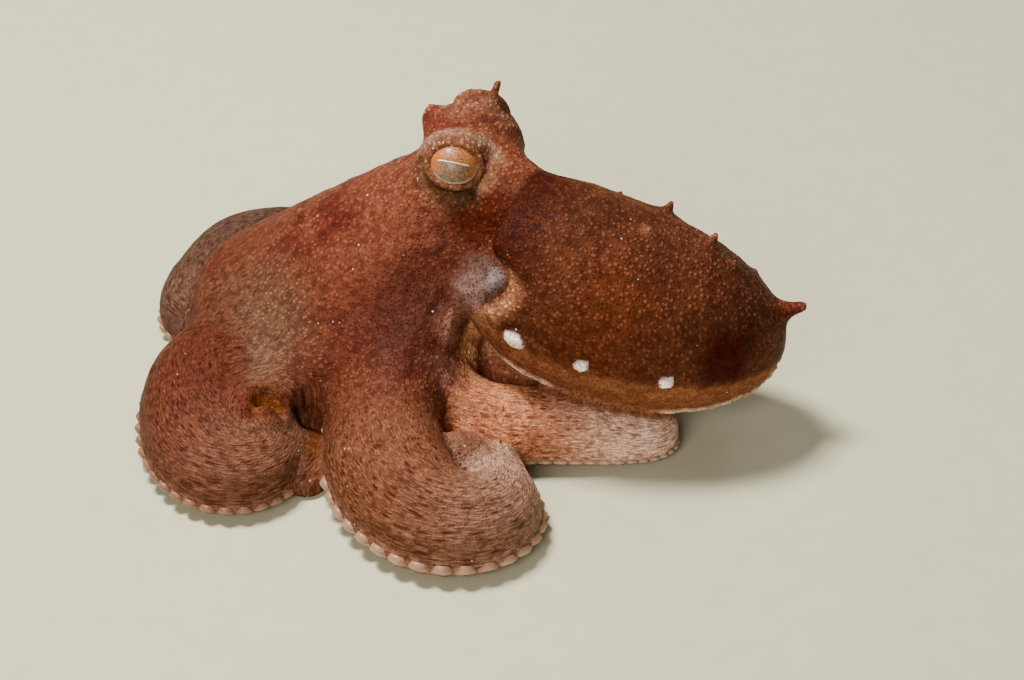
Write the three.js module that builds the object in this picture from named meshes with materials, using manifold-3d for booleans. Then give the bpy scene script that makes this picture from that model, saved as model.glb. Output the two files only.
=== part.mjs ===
// A small octopus at rest: head raised, mantle sac held out behind it, and eight arms on the floor,
// most of them curled. Millimetres, +Z up. The origin is on the floor under the mouth, +X runs
// towards the tip of the mantle, and the left side of the animal faces -Y.
import * as THREE from 'three';
import { mergeVertices } from 'three/addons/utils/BufferGeometryUtils.js';
import Module from 'manifold-3d';

const wasm = await Module();
wasm.setup();

const at = (x, y, z) => new THREE.Vector3(x, y, z);

// ---- Driving dimensions ---------------------------------------------------------------------

const GAP = 0.3; // thin cut between neighbouring parts
const FINEST = 0.02; // slivers smaller than this are tidied away after a cut

const MANTLE = {
  front: at(9.8, -1.4, 19.5),
  bend: at(25.3, -6.2, 12.2), // the axis leaves the front towards this point
  tail: at(39.4, -3.9, 9.5),
  girth: 10.1, // greatest half width
  rim: 7.4, // half width at the open front edge
  fattest: 0.36, // where along the axis the girth is reached
  pocket: 2.2, // depth of the opening
};

const HEAD = {
  centre: at(7.0, 3.3, 19.6),
  size: at(6.0, 6.8, 7.4),
  nape: at(12.4, -0.8, 19.0), // where the neck ends, inside the mantle
  neck: 5.8, // half width of the neck
  heading: 172, // the way the head faces, in degrees from +X
};

const TURRETS = {
  left: { centre: at(6.3, 2.0, 26.2), size: at(4.1, 3.9, 3.9) },
  right: { centre: at(8.3, 8.0, 26.6), size: at(5.2, 4.0, 3.5) },
};

// Muscle behind the head, which fills the hollow between it and the mantle.
const NAPE = { centre: at(11.5, 0.7, 22.9), size: at(4.8, 5.0, 4.4) };

// Papillae: where they stand, their half width at the foot and their height.
const MANTLE_PAPILLAE = [
  { along: 0.95, around: 105, backward: 2.0, wide: 0.75, tall: 2.6 },
  { along: 0.47, around: 62, backward: 0.2, wide: 0.75, tall: 1.3 },
  { along: 0.64, around: 84, backward: 0.2, wide: 0.6, tall: 1.1 },
  { along: 0.73, around: 97, backward: 0.2, wide: 0.5, tall: 0.8 },
  { along: 0.30, around: 40, backward: 0.2, wide: 0.7, tall: 1.0 },
];
const TURRET_PAPILLAE = [
  { side: 'right', outward: at(0.5, 0.05, 0.86), wide: 0.65, tall: 2.3 },
  { side: 'right', outward: at(0.9, -0.1, 0.3), wide: 0.5, tall: 0.8 },
  { side: 'left', outward: at(0.4, 0.2, 0.86), wide: 0.5, tall: 0.8 },
];
const BLUNT = 0.5; // width of a papilla's tip, as a share of its foot
const SUNK = 0.4; // share of a papilla's height that is sunk in the skin

const EYE = {
  radius: 2.75,
  forward: 1.6, // how far it stands out from the middle of its turret
  turn: 98, // its gaze, in degrees either side of the way the head faces
  lift: 30, // its gaze, in degrees above level
};

const FUNNEL = {
  root: at(10.6, -3.0, 17.6),
  mouth: at(6.4, -5.6, 15.0),
  rootRadius: 2.2,
  mouthRadius: 1.3,
};

const WEB = {
  top: at(6.5, 3.8, 25.0),
  neck: 5.2, // radius at the top
  bulge: 0.95, // below 1 the slope is slightly convex
  reach: 9.0, // least radius on the floor
  front: { at: 147, spread: 60, reach: 16.0 }, // the wide web between the front pairs of arms
  pleat: { at: 230, spread: 28, reach: 4.0 }, // its overhanging fold on the left
  knee: 7.0, // height where the slope meets the arms
  frontKnee: 2.6, // how much higher that is in front
  undercut: 0.22, // how far the pleat overhangs
};

// An arm starts under the head and runs out over the floor. Its turns are [start, over, degrees]
// along its length, left turns positive. It comes down to the floor within its drop. A fuller arm
// keeps its width further out, and a lean tips its section over to the left.
const ARMS = {
  left_1: {
    start: [2, 2, 16], heading: 180, length: 58, drop: 22, wide: 5.1, tall: 5.0,
    fullness: 3.8, lean: 0.2, turns: [[12, 18, 92], [27.5, 29.5, 112], [38, 8, 76]],
  },
  left_2: {
    start: [3, -1, 15], heading: 250, length: 51, drop: 17, wide: 5.6, tall: 5.6,
    fullness: 3.0, lean: 0.25, turns: [[4.4, 30, 72], [24.9, 15, 130], [43.5, 8, 150]],
  },
  left_3: {
    start: [6, 0.5, 14], heading: 257, length: 37, drop: 16, wide: 3.9, tall: 4.0,
    fullness: 5.0, lean: 0, turns: [[5.2, 9, 101], [24.5, 14.5, 6], [28.5, 8, 140]],
  },
  left_4: {
    start: [8.5, 1.2, 12], heading: 314, length: 32, drop: 12, wide: 2.9, tall: 3.0,
    fullness: 3.0, lean: 0, turns: [[2.5, 8.6, 56], [11.8, 16, 120], [23, 9, 90]],
  },
  right_1: {
    start: [2, 5, 16], heading: 122, length: 52, drop: 22, wide: 4.7, tall: 4.8,
    fullness: 3.4, lean: 0.05, turns: [[7, 10, 12], [18, 15, 108], [35, 12, 130]],
  },
  right_2: {
    start: [4.5, 5, 16], heading: 99, length: 47, drop: 18, wide: 4.2, tall: 4.5,
    fullness: 3.0, lean: 0, turns: [[2, 14, 14], [20, 14, -125], [34, 10, -130]],
  },
  right_3: {
    start: [6.5, 5, 15], heading: 76, length: 46, drop: 17, wide: 4.0, tall: 4.2,
    fullness: 3.0, lean: 0, turns: [[3, 19, -32], [21, 16, -125], [35, 9, -140]],
  },
  right_4: {
    start: [8, 3, 13], heading: 38, length: 46, drop: 14, wide: 3.6, tall: 3.8,
    fullness: 3.0, lean: 0, turns: [[3.4, 16, -26], [21, 16, -120], [34, 9, -130]],
  },
};
const ARM_LENGTHS = { base: [0, 0.42], middle: [0.42, 0.7], tip: [0.7, 1] };
const ARM_SIDES = 10;
const RING_STEP = 1.9; // distance between the rings of an arm
const TIP_WIDTH = 0.1; // an arm's width at its end, as a share of its width at the base
const ROUND_TIP = 0.05; // share of an arm's length that is rounded off
const TIP_END = 0.05; // the last ring of an arm stops this far short of its end
const SETTLE = 0.94; // height of an arm's middle, as a share of its half height
const INSIDE_BEND = 0.85; // the inside of a bend is pressed in to this share of its radius

// ---- Closed surfaces ------------------------------------------------------------------------

/** A ball's mesh, each of its points moved: place(around, row) gives its place. */
function closedSurface(sides, rows, place) {
  const geometry = new THREE.SphereGeometry(1, sides, rows);
  const position = geometry.attributes.position;
  for (let row = 0; row <= rows; row += 1) {
    for (let side = 0; side <= sides; side += 1) {
      const point = place((side % sides) / sides, row);
      position.setXYZ(row * (sides + 1) + side, point.x, point.y, point.z);
    }
  }
  return geometry;
}

/** Rings in a row, closed to a point at each end, and pressed flat where they meet the floor. */
function ringedSurface(sides, rings, firstPoint, lastPoint, floor) {
  const rows = rings.length + 1;
  return closedSurface(sides, rows, (around, row) => {
    if (row === 0) return firstPoint;
    if (row === rows) return lastPoint;
    const { centre, left, up, leftWide, rightWide, tall, lean } = rings[row - 1];
    const angle = -2 * Math.PI * around;
    const rise = tall * Math.sin(angle);
    const wide = Math.cos(angle) > 0 ? leftWide : rightWide;
    const point = centre.clone()
      .addScaledVector(left, wide * Math.cos(angle) + lean * rise)
      .addScaledVector(up, rise);
    point.z = Math.max(point.z, floor);
    return point;
  });
}

/** A blunt spike of skin, its root sunk under the surface. */
function papilla(foot, outward, { wide, tall }) {
  const direction = outward.clone().normalize();
  const spike = new THREE.CylinderGeometry(wide * BLUNT, wide, tall * (1 + SUNK), 7);
  spike.applyQuaternion(new THREE.Quaternion().setFromUnitVectors(at(0, 1, 0), direction));
  const middle = foot.clone().addScaledVector(direction, tall * (1 - SUNK) / 2);
  return solid(spike.translate(middle.x, middle.y, middle.z));
}

function roundRing(centre, along, radius) {
  const left = at(0, 0, 1).cross(along).normalize();
  const up = along.clone().cross(left).normalize();
  return { centre, left, up, leftWide: radius, rightWide: radius, tall: radius, lean: 0 };
}

function ellipsoid(centre, size, grow, sides = 18, rows = 12) {
  const ball = new THREE.SphereGeometry(1, sides, rows);
  ball.rotateX(Math.PI / 2);
  ball.scale(size.x + grow, size.y + grow, size.z + grow);
  return ball.translate(centre.x, centre.y, centre.z);
}

// ---- Joining and cutting --------------------------------------------------------------------

function solid(geometry) {
  const plain = geometry.clone();
  plain.deleteAttribute('normal');
  plain.deleteAttribute('uv');
  const merged = mergeVertices(plain, 1e-4);
  return new wasm.Manifold(new wasm.Mesh({
    numProp: 3,
    vertProperties: new Float32Array(merged.attributes.position.array),
    triVerts: new Uint32Array(merged.index.array),
  }));
}

const join = (solids) => solids.reduce((whole, next) => whole.add(next));
const cut = (whole, cutters) => cutters.reduce((rest, cutter) => rest.subtract(cutter), whole);

/** A cut can leave several pieces: the part is the largest. */
function largest(whole) {
  return whole.decompose().reduce((best, next) => (next.volume() > best.volume() ? next : best))
    .simplify(FINEST);
}

function geometryOf(whole) {
  const { vertProperties, triVerts } = whole.getMesh();
  const geometry = new THREE.BufferGeometry();
  geometry.setAttribute('position', new THREE.BufferAttribute(vertProperties, 3));
  geometry.setIndex(new THREE.BufferAttribute(triVerts, 1));
  geometry.computeVertexNormals();
  return geometry;
}

// ---- Mantle: a sac round a bent axis, with a shallow pocket at its open front ------------------

const mantleAxis = new THREE.QuadraticBezierCurve3(MANTLE.front, MANTLE.bend, MANTLE.tail);

function mantleRadius(along) {
  const { girth, rim, fattest } = MANTLE;
  if (along < fattest) return girth - (girth - rim) * (1 - along / fattest) ** 3;
  return girth * Math.sqrt(1 - ((along - fattest) / (1 - fattest)) ** 2);
}

/** A point of the sac, the way out of it there, and the way to the tail. */
function mantlePoint({ along, around }) {
  const back = mantleAxis.getTangent(along);
  const { centre, left, up } = roundRing(mantleAxis.getPoint(along), back, 1);
  const angle = THREE.MathUtils.degToRad(around);
  const outward = left.multiplyScalar(Math.cos(angle)).addScaledVector(up, Math.sin(angle));
  return { foot: centre.addScaledVector(outward, mantleRadius(along)), outward, back };
}

function mantle(grow) {
  const rings = [];
  const steps = 15;
  for (let step = 0; step < steps; step += 1) {
    const along = Math.sin((step / steps) * Math.PI / 2);
    const radius = mantleRadius(along) + grow;
    rings.push(roundRing(mantleAxis.getPoint(along), mantleAxis.getTangent(along), radius));
  }
  const front = mantleAxis.getPoint(0);
  const inward = mantleAxis.getTangent(0);
  const tail = mantleAxis.getPoint(1).addScaledVector(mantleAxis.getTangent(1), grow);
  front.addScaledVector(inward, grow > 0 ? -grow : MANTLE.pocket);
  const sac = solid(ringedSurface(20, rings, front, tail, 0));
  return join([sac, ...MANTLE_PAPILLAE.map((bump) => {
    const { foot, outward, back } = mantlePoint(bump);
    return papilla(foot, outward.addScaledVector(back, bump.backward), bump);
  })]);
}

// ---- Head, eyes and funnel --------------------------------------------------------------------

function tube(from, to, fromRadius, toRadius, sides) {
  const along = to.clone().sub(from).normalize();
  const rings = [roundRing(from, along, fromRadius), roundRing(to, along, toRadius)];
  return solid(ringedSurface(sides, rings, from, to, 0));
}

function gaze(side) {
  const turn = THREE.MathUtils.degToRad(HEAD.heading + (side === 'left' ? 1 : -1) * EYE.turn);
  const lift = THREE.MathUtils.degToRad(EYE.lift);
  return at(Math.cos(turn) * Math.cos(lift), Math.sin(turn) * Math.cos(lift), Math.sin(lift));
}

function eye(side, grow) {
  const centre = TURRETS[side].centre.clone().addScaledVector(gaze(side), EYE.forward);
  const size = at(EYE.radius, EYE.radius, EYE.radius);
  return solid(ellipsoid(centre, size, grow, 12, 8));
}

function head(grow) {
  const turrets = Object.values(TURRETS)
    .map(({ centre, size }) => solid(ellipsoid(centre, size, grow)));
  const neck = tube(HEAD.centre, HEAD.nape, HEAD.neck + grow, HEAD.neck * 0.9 + grow, 16);
  const brows = TURRET_PAPILLAE.map((bump) => {
    const { centre, size } = TURRETS[bump.side];
    const outward = bump.outward.clone().normalize();
    return papilla(centre.clone().add(outward.clone().multiply(size)), outward, bump);
  });
  const nape = solid(ellipsoid(NAPE.centre, NAPE.size, grow, 10, 6));
  return join([solid(ellipsoid(HEAD.centre, HEAD.size, grow)), neck, nape, ...turrets, ...brows]);
}

function funnel(grow) {
  const { root, mouth, rootRadius, mouthRadius } = FUNNEL;
  const end = mouth.clone().addScaledVector(mouth.clone().sub(root).normalize(), grow);
  return tube(root, end, rootRadius + grow, mouthRadius + grow, 12);
}

// ---- Web: the tent of skin from the head down to the arms --------------------------------------

/** 1 at the middle of a lobe, falling off with the angle from it. */
function lobe(degrees, { at: middle, spread }) {
  const apart = ((degrees - middle + 540) % 360) - 180;
  return Math.exp(-((apart / spread) ** 2));
}

function webPoint(degrees, level, grow) {
  const front = lobe(degrees, WEB.front);
  const pleat = lobe(degrees, WEB.pleat);
  const reach = WEB.reach + WEB.front.reach * front + WEB.pleat.reach * pleat + grow;
  const knee = WEB.knee + WEB.frontKnee * front;
  const top = WEB.top.z + grow;
  const height = level < 0 ? knee * (1 + level) : knee + (top - knee) * level;
  const slope = WEB.neck + grow + (reach - WEB.neck - grow) * (1 - level) ** WEB.bulge;
  const under = reach * (1 + WEB.undercut * pleat * level);
  const radius = level < 0 ? under : slope;
  const angle = THREE.MathUtils.degToRad(degrees);
  const lean = height / top;
  return at(
    WEB.top.x * lean + radius * Math.cos(angle),
    WEB.top.y * lean + radius * Math.sin(angle),
    height,
  );
}

/** Level runs from 1 at the top to 0 at the knee, and on to -1 at the floor. */
function web(grow) {
  const sides = 32;
  const levels = [1, 0.8, 0.6, 0.4, 0.2, 0, -0.5, -1];
  const rows = levels.length + 1;
  return solid(closedSurface(sides, rows, (around, row) => {
    if (row === 0) return WEB.top.clone().setZ(WEB.top.z + grow);
    if (row === rows) return at(0, 0, -grow);
    const point = webPoint(around * 360, levels[row - 1], grow);
    if (row === rows - 1) point.z = -grow;
    return point;
  }));
}

// ---- Arms -------------------------------------------------------------------------------------

/** The arm's line on the floor, followed in small steps: place and bend at each distance. */
function armLine({ start, heading, length, turns }) {
  const steps = 400;
  const points = [{ x: start[0], y: start[1] }];
  const bearing = (distance) => turns.reduce((sum, [from, over, degrees]) => (
    sum + degrees * THREE.MathUtils.smoothstep(distance, from, from + over)
  ), heading) * THREE.MathUtils.DEG2RAD;
  for (let step = 0; step < steps; step += 1) {
    const angle = bearing((step + 0.5) * length / steps);
    const { x, y } = points[step];
    points.push({
      x: x + Math.cos(angle) * length / steps,
      y: y + Math.sin(angle) * length / steps,
    });
  }
  return (distance) => {
    const nearest = points[Math.round(THREE.MathUtils.clamp(distance / length, 0, 1) * steps)];
    const angle = bearing(distance);
    return { ...nearest, angle, bend: (bearing(distance + 0.5) - bearing(distance - 0.5)) };
  };
}

function armRing(arm, line, distance, grow) {
  const share = THREE.MathUtils.clamp(distance / arm.length, 0, 1);
  const { x, y, angle, bend } = line(distance);
  const taper = 1 - (1 - TIP_WIDTH) * share ** arm.fullness;
  const round = Math.sqrt(1 - Math.max(0, (share - 1 + ROUND_TIP) / ROUND_TIP) ** 2);
  const wide = arm.wide * taper * round;
  const tall = arm.tall * taper * round;
  const drop = Math.max(0, 1 - distance / arm.drop) ** 1.5;
  const pressed = INSIDE_BEND / Math.max(Math.abs(bend), 1e-6);
  return {
    centre: at(x, y, SETTLE * arm.tall * taper + (arm.start[2] - arm.tall) * drop),
    left: at(-Math.sin(angle), Math.cos(angle), 0),
    up: at(0, 0, 1),
    leftWide: (bend > 0 ? Math.min(wide, pressed) : wide) + grow,
    rightWide: (bend < 0 ? Math.min(wide, pressed) : wide) + grow,
    tall: tall + grow,
    lean: arm.lean,
  };
}

function armLength(arm, [from, to], grow) {
  const line = armLine(arm);
  const start = from * arm.length + (from > 0 ? GAP : 0);
  const end = to < 1 ? to * arm.length : arm.length - TIP_END;
  const count = Math.ceil((end - start) / RING_STEP);
  const distances = Array.from({ length: count + 1 }, (_, step) => (
    start + (end - start) * step / count
  ));
  distances[0] -= from > 0 ? grow : 0;
  distances[count] += to < 1 ? grow : 0;
  const rings = distances.map((distance) => armRing(arm, line, distance, grow));
  const first = rings[0].centre.clone();
  const last = rings[count].centre.clone();
  return solid(ringedSurface(ARM_SIDES, rings, first, last, -grow));
}

// ---- Assembly: each part is trimmed by those before it, with a thin cut between ----------------

const COLOURS = {
  mantle: 0x6b3519,
  head: 0x9a6246,
  web: 0x8a4a34,
  funnel: 0xb89a84,
  eye: 0xc08a3e,
  arm_left: 0x8c5a42,
  arm_right: 0x7c4e38,
};

function material(color, roughness) {
  return new THREE.MeshStandardMaterial({ color, roughness, metalness: 0 });
}

const octopus = new THREE.Group();
const cutters = [];

/** Adds a part made by make(grow), cut clear of the parts added before it. */
function addPart(name, color, roughness, make) {
  const mesh = new THREE.Mesh(geometryOf(largest(cut(make(0), cutters))), material(color, roughness));
  mesh.name = name;
  octopus.add(mesh);
  cutters.push(make(GAP));
}

addPart('eye_left', COLOURS.eye, 0.1, (grow) => eye('left', grow));
addPart('eye_right', COLOURS.eye, 0.1, (grow) => eye('right', grow));
addPart('head', COLOURS.head, 0.5, head);
addPart('mantle', COLOURS.mantle, 0.5, mantle);
addPart('funnel', COLOURS.funnel, 0.45, funnel);
addPart('web', COLOURS.web, 0.5, web);
for (const [name, arm] of Object.entries(ARMS)) {
  const color = COLOURS[`arm_${name.split('_')[0]}`];
  for (const [part, span] of Object.entries(ARM_LENGTHS)) {
    addPart(`arm_${name}_${part}`, color, 0.5, (grow) => armLength(arm, span, grow));
  }
}

export default octopus;
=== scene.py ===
# %% [markdown]
# # A small octopus at rest
# This is a keeled octopus of shallow sand flats, sitting still. Its head is raised, its mantle (the
# sac that holds the organs) is held out behind the head, and its eight arms lie curled round it.
# The solids that carry it come from a CAD model. Here they get what CAD leaves out: one unbroken
# skin with wrinkles, papillae and colours, a pair of eyes, and rows of suckers. Everything is worked
# out in millimetres and turned to metres when a mesh is made.

import math

import bpy
import numpy as np
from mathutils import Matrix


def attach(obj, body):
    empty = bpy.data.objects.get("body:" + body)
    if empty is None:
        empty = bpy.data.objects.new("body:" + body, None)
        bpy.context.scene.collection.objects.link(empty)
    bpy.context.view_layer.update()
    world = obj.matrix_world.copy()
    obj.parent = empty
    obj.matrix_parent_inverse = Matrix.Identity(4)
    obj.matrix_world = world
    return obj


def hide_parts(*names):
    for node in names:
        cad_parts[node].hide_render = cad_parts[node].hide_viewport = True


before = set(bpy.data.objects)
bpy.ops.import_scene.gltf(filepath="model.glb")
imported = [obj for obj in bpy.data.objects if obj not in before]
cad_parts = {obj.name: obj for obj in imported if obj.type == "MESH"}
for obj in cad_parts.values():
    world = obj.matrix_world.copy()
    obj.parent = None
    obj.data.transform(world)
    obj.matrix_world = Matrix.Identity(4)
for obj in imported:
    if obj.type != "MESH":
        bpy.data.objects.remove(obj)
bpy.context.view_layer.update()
MM = 0.001
print("CAD nodes:", len(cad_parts))

# %% [markdown]
# ## Camera and lights
# The camera looks down at the left side of the animal through a long lens. A short lens close by
# would swell the nearest arm, and a long one far away keeps the proportions true. The light is soft:
# a large lamp high up over the arms gives the shadows, and two weaker ones fill them.

# %% Camera
TARGET = np.array([12.0, -6.0, 10.7])
ELEVATION = math.radians(33.0)
DISTANCE = 320.0
FORWARD = np.array([0.0, math.cos(ELEVATION), -math.sin(ELEVATION)])
camera_data = bpy.data.cameras.new("camera")
camera_data.lens = 112.5
camera_data.clip_start = 0.01
camera = bpy.data.objects.new("camera", camera_data)
camera.location = (TARGET - DISTANCE * FORWARD) * MM
camera.rotation_euler = (math.pi / 2 - ELEVATION, 0, 0)
bpy.context.scene.collection.objects.link(camera)
bpy.context.scene.camera = camera
print("camera at", [round(c, 4) for c in camera.location])


# %% Lights
def soft_lamp(name, place, size, watts, colour):
    """A square lamp at a place in millimetres, tilted and turned so that it faces the animal."""
    data = bpy.data.lights.new(name, "AREA")
    data.size = size * MM
    data.energy = watts
    data.color = colour
    lamp = bpy.data.objects.new(name, data)
    lamp.location = np.array(place) * MM
    away = np.array(place) - TARGET
    flat = math.hypot(away[0], away[1])
    lamp.rotation_euler = (math.atan2(flat, away[2]), 0, math.atan2(away[1], away[0]) + math.pi / 2)
    bpy.context.scene.collection.objects.link(lamp)


soft_lamp("key", (-110, 50, 340), 90, 3.3, (1.0, 0.98, 0.94))
soft_lamp("front", (-90, -330, 190), 160, 1.15, (1.0, 0.98, 0.95))
soft_lamp("back", (160, 240, 260), 200, 0.2, (1.0, 0.97, 0.94))
world = bpy.data.worlds.new("studio")
world.use_nodes = True
world.node_tree.nodes["Background"].inputs["Color"].default_value = (1.0, 0.97, 0.93, 1)
world.node_tree.nodes["Background"].inputs["Strength"].default_value = 0.16
bpy.context.scene.world = world

# %% [markdown]
# ## Meshes from arrays
# Every shape below is a grid of points worked out as one array: rings of points from one end of a
# body to the other. One helper turns such a grid into a closed surface with its two ends drawn
# together, and another writes the arrays into Blender in one go, which is much faster than adding
# vertices one at a time.


# %% Closed surface from rings
def closed_surface(rings, first, last):
    """Points and triangles of a tube of rings (rows, sides, 3) closed to a point at each end.

    Each pair of neighbouring rings is joined by two triangles a side. If the volume, a sixth of
    the sum of a . (b x c) over the triangles, comes out negative, all of them are turned round.
    """
    rows, sides, _ = rings.shape
    points = np.concatenate([rings.reshape(-1, 3), [first, last]])
    side = np.arange(sides)
    after = (side + 1) % sides
    row = np.arange(rows - 1)[:, None] * sides
    a, b, c, d = row + side, row + after, row + sides + after, row + sides + side
    walls = np.concatenate([np.stack([a, b, c], -1), np.stack([a, c, d], -1)]).reshape(-1, 3)
    top = np.full(sides, rows * sides)
    end = (rows - 1) * sides
    caps = np.concatenate([
        np.stack([top, after, side], -1),
        np.stack([top + 1, end + side, end + after], -1),
    ])
    triangles = np.concatenate([walls, caps])
    corners = points[triangles]
    volume = np.einsum("ij,ij->i", corners[:, 0], np.cross(corners[:, 1], corners[:, 2])).sum() / 6
    return points, triangles if volume > 0 else triangles[:, ::-1]


square = np.array([[1.0, 0.0, 0.0], [0.0, 1.0, 0.0], [-1.0, 0.0, 0.0], [0.0, -1.0, 0.0]])
box = closed_surface(np.stack([square, square + [0, 0, 1]]), [0, 0, 0], [0, 0, 1])
print("a square tube of two rings closes with", len(box[1]), "triangles")


# %% Many surfaces as one, and a mesh
def joined(surfaces):
    """One array of points and one of faces for many surfaces, each one's indices moved up."""
    starts = np.cumsum([0] + [len(points) for points, _ in surfaces[:-1]])
    points = np.concatenate([points for points, _ in surfaces])
    faces = np.concatenate([faces + start for (_, faces), start in zip(surfaces, starts)])
    return points, faces


def make_mesh(name, points, faces, scale=1.0):
    """A Blender mesh of points (n, 3) and faces (m, 3 or 4), with smooth shading."""
    mesh = bpy.data.meshes.new(name)
    corners = faces.shape[1]
    mesh.vertices.add(len(points))
    mesh.vertices.foreach_set("co", (points * scale).astype(np.float32).ravel())
    mesh.loops.add(faces.size)
    mesh.loops.foreach_set("vertex_index", faces.astype(np.int32).ravel())
    mesh.polygons.add(len(faces))
    mesh.polygons.foreach_set("loop_start", np.arange(0, faces.size, corners, dtype=np.int32))
    mesh.polygons.foreach_set("use_smooth", np.ones(len(faces), bool))
    mesh.update(calc_edges=True)
    mesh.validate()
    return mesh


print("two such tubes joined have", len(joined([box, box])[1]), "triangles")


# %% Small helpers for arrays
def unit(vectors):
    """Each vector divided by its length."""
    return vectors / np.linalg.norm(vectors, axis=-1, keepdims=True)


def smoothstep(low, high, x):
    """0 below low, 1 above high, and 3t^2 - 2t^3 between them; it falls if low is the larger."""
    t = np.clip((x - low) / (high - low), 0, 1)
    return t * t * (3 - 2 * t)


def bump(x, middle, width):
    """A bell curve of height 1 about its middle."""
    return np.exp(-(((x - middle) / width) ** 2))


def angle_gap(angle, other):
    """How far apart two angles are, in degrees from 0 to 180."""
    return np.abs((angle - other + 180) % 360 - 180)


def noise(points, size, seed=0):
    """Smooth noise from -1 to 1, with lumps about as wide as size.

    Space is cut into cubes of that size. Each cube corner gets a number hashed from its place, and
    a point takes the average of the eight round it, weighted by the smoothstep of its place.
    """
    cells = np.floor(points / size).astype(np.int64)
    inside = points / size - cells
    weight = inside * inside * (3 - 2 * inside)
    total = np.zeros(len(points))
    for corner in np.ndindex(2, 2, 2):
        x, y, z = (cells + corner).T
        mixed = (x * 73856093 ^ y * 19349663 ^ z * 83492791 ^ seed * 2654435761) & 0x7FFFFFFF
        mixed = (mixed ^ (mixed >> 13)) * 1274126177 & 0x7FFFFFFF
        value = (mixed % 65536) / 32767.5 - 1
        share = np.prod(np.where(np.array(corner) == 1, weight, 1 - weight), axis=1)
        total += share * value
    return total


print("noise at the origin:", round(float(noise(np.zeros((1, 3)), 1.0)[0]), 3))

# %% [markdown]
# ## The mantle
# The mantle is a muscular sac. It is fattest a third of the way along and rounds off to the tail.
# Its front edge is free on the left, the right and below, where water is drawn in, and it has a
# notch on each side. A profile carried along a bent axis gives the shape: the profile starts deep
# inside the opening, turns over the lip and runs back to the tail. A sphere pulled longer would be
# simpler, but it would have no opening.

# %% Mantle axis and profile
FRONT = np.array([9.8, -1.4, 19.5])
BEND = np.array([25.3, -6.2, 12.2])
TAIL = np.array([39.4, -3.9, 9.5])
GIRTH, RIM, FATTEST = 10.1, 7.4, 0.36
MANTLE_LENGTH = 31.6


def mantle_frame(along):
    """Axis point and the directions back, to the animal's right and up, for each share along.

    The point is (1 - t)^2 front + 2 t (1 - t) bend + t^2 tail, and back is its rate of change.
    """
    t = np.asarray(along, float)[..., None]
    point = (1 - t) ** 2 * FRONT + 2 * t * (1 - t) * BEND + t * t * TAIL
    back = unit(2 * (1 - t) * (BEND - FRONT) + 2 * t * (TAIL - BEND))
    right = unit(np.cross([0.0, 0.0, 1.0], back))
    return point, back, right, np.cross(back, right)


def mantle_radius(along):
    """A cubic rise from the rim to the girth, then a quarter of an ellipse to the tail."""
    rise = GIRTH - (GIRTH - RIM) * (1 - np.clip(along, 0, FATTEST) / FATTEST) ** 3
    fall = np.clip((along - FATTEST) / (1 - FATTEST), 0, 1)
    return np.where(along < FATTEST, rise, GIRTH * np.sqrt(1 - fall ** 2))


TOP_OF_MANTLE = 90.0
LIP_ANGLES = [56, 64, 70, 76, 83, 90, 100, 110, 120, 130, 180]
LIP_SHIFTS = [0, 1.0, 2.3, 2.9, 2.95, 2.8, 2.25, 2.0, 1.7, 1.6, 1.6]


def lip_shift(around):
    """How far back the free edge lies, in mm: a line through the table, by the angle from the top."""
    return np.interp(angle_gap(around, TOP_OF_MANTLE), LIP_ANGLES, LIP_SHIFTS)


def mantle_surface():
    """Rings about the bent axis: centre + radius(right cos + up sin), the front ones shifted."""
    pocket = np.array([[5.4, 1.5], [5.4, 3.4], [5.0, 5.0], [4.0, 6.2], [2.6, 6.7], [1.2, 6.9],
                       [0.35, 7.0], [-0.05, 7.2], [0.0, 7.45]])
    back_rows = np.sin(np.linspace(0.02, 1, 80) * math.pi / 2)[:-1]
    along = np.concatenate([pocket[:, 0] / MANTLE_LENGTH, back_rows])
    radius = np.concatenate([pocket[:, 1], mantle_radius(back_rows)])
    around = np.radians(np.arange(0, 360, 3.0))
    near_rim = np.clip(1 - along / 0.4, 0, 1)[:, None] ** 1.5
    shifted = along[:, None] + near_rim * lip_shift(np.degrees(around)) / MANTLE_LENGTH
    point, _, right, up = mantle_frame(shifted)
    spoke = right * np.cos(around)[None, :, None] + up * np.sin(around)[None, :, None]
    rings = point + radius[:, None, None] * spoke
    inner = mantle_frame(pocket[0, 0] / MANTLE_LENGTH)[0]
    return closed_surface(rings, inner, TAIL)


mantle = mantle_surface()
print("mantle grid:", len(mantle[0]), "points")

# %% [markdown]
# ## Head, neck and funnel
# An octopus has no bones, so its head is only a swelling between the arms and the mantle. Each eye
# sits on a turret of muscle that it can raise. Overlapping balls of different sizes give the head,
# because they melt into one another when the skin is wrapped round them all.

# %% Balls and tubes
HEAD = np.array([7.0, 3.3, 19.6])
LEFT_TURRET = np.array([6.3, 2.0, 26.2])
RIGHT_TURRET = np.array([8.3, 8.0, 26.6])


def ball(centre, size, turn=0.0, rows=24, sides=36):
    """An ellipsoid: centre + size (sin v cos u, sin v sin u, cos v), turned about z."""
    v = np.linspace(0, math.pi, rows + 2)[1:-1, None]
    u = np.linspace(0, 2 * math.pi, sides, endpoint=False)[None, :]
    x, y = size[0] * np.sin(v) * np.cos(u), size[1] * np.sin(v) * np.sin(u)
    z = size[2] * np.cos(v) * np.ones_like(u)
    c, s = math.cos(turn), math.sin(turn)
    rings = np.stack([c * x - s * y, s * x + c * y, z], -1) + centre
    tip = np.array([0, 0, size[2]])
    return closed_surface(rings, centre + tip, centre - tip)


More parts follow.
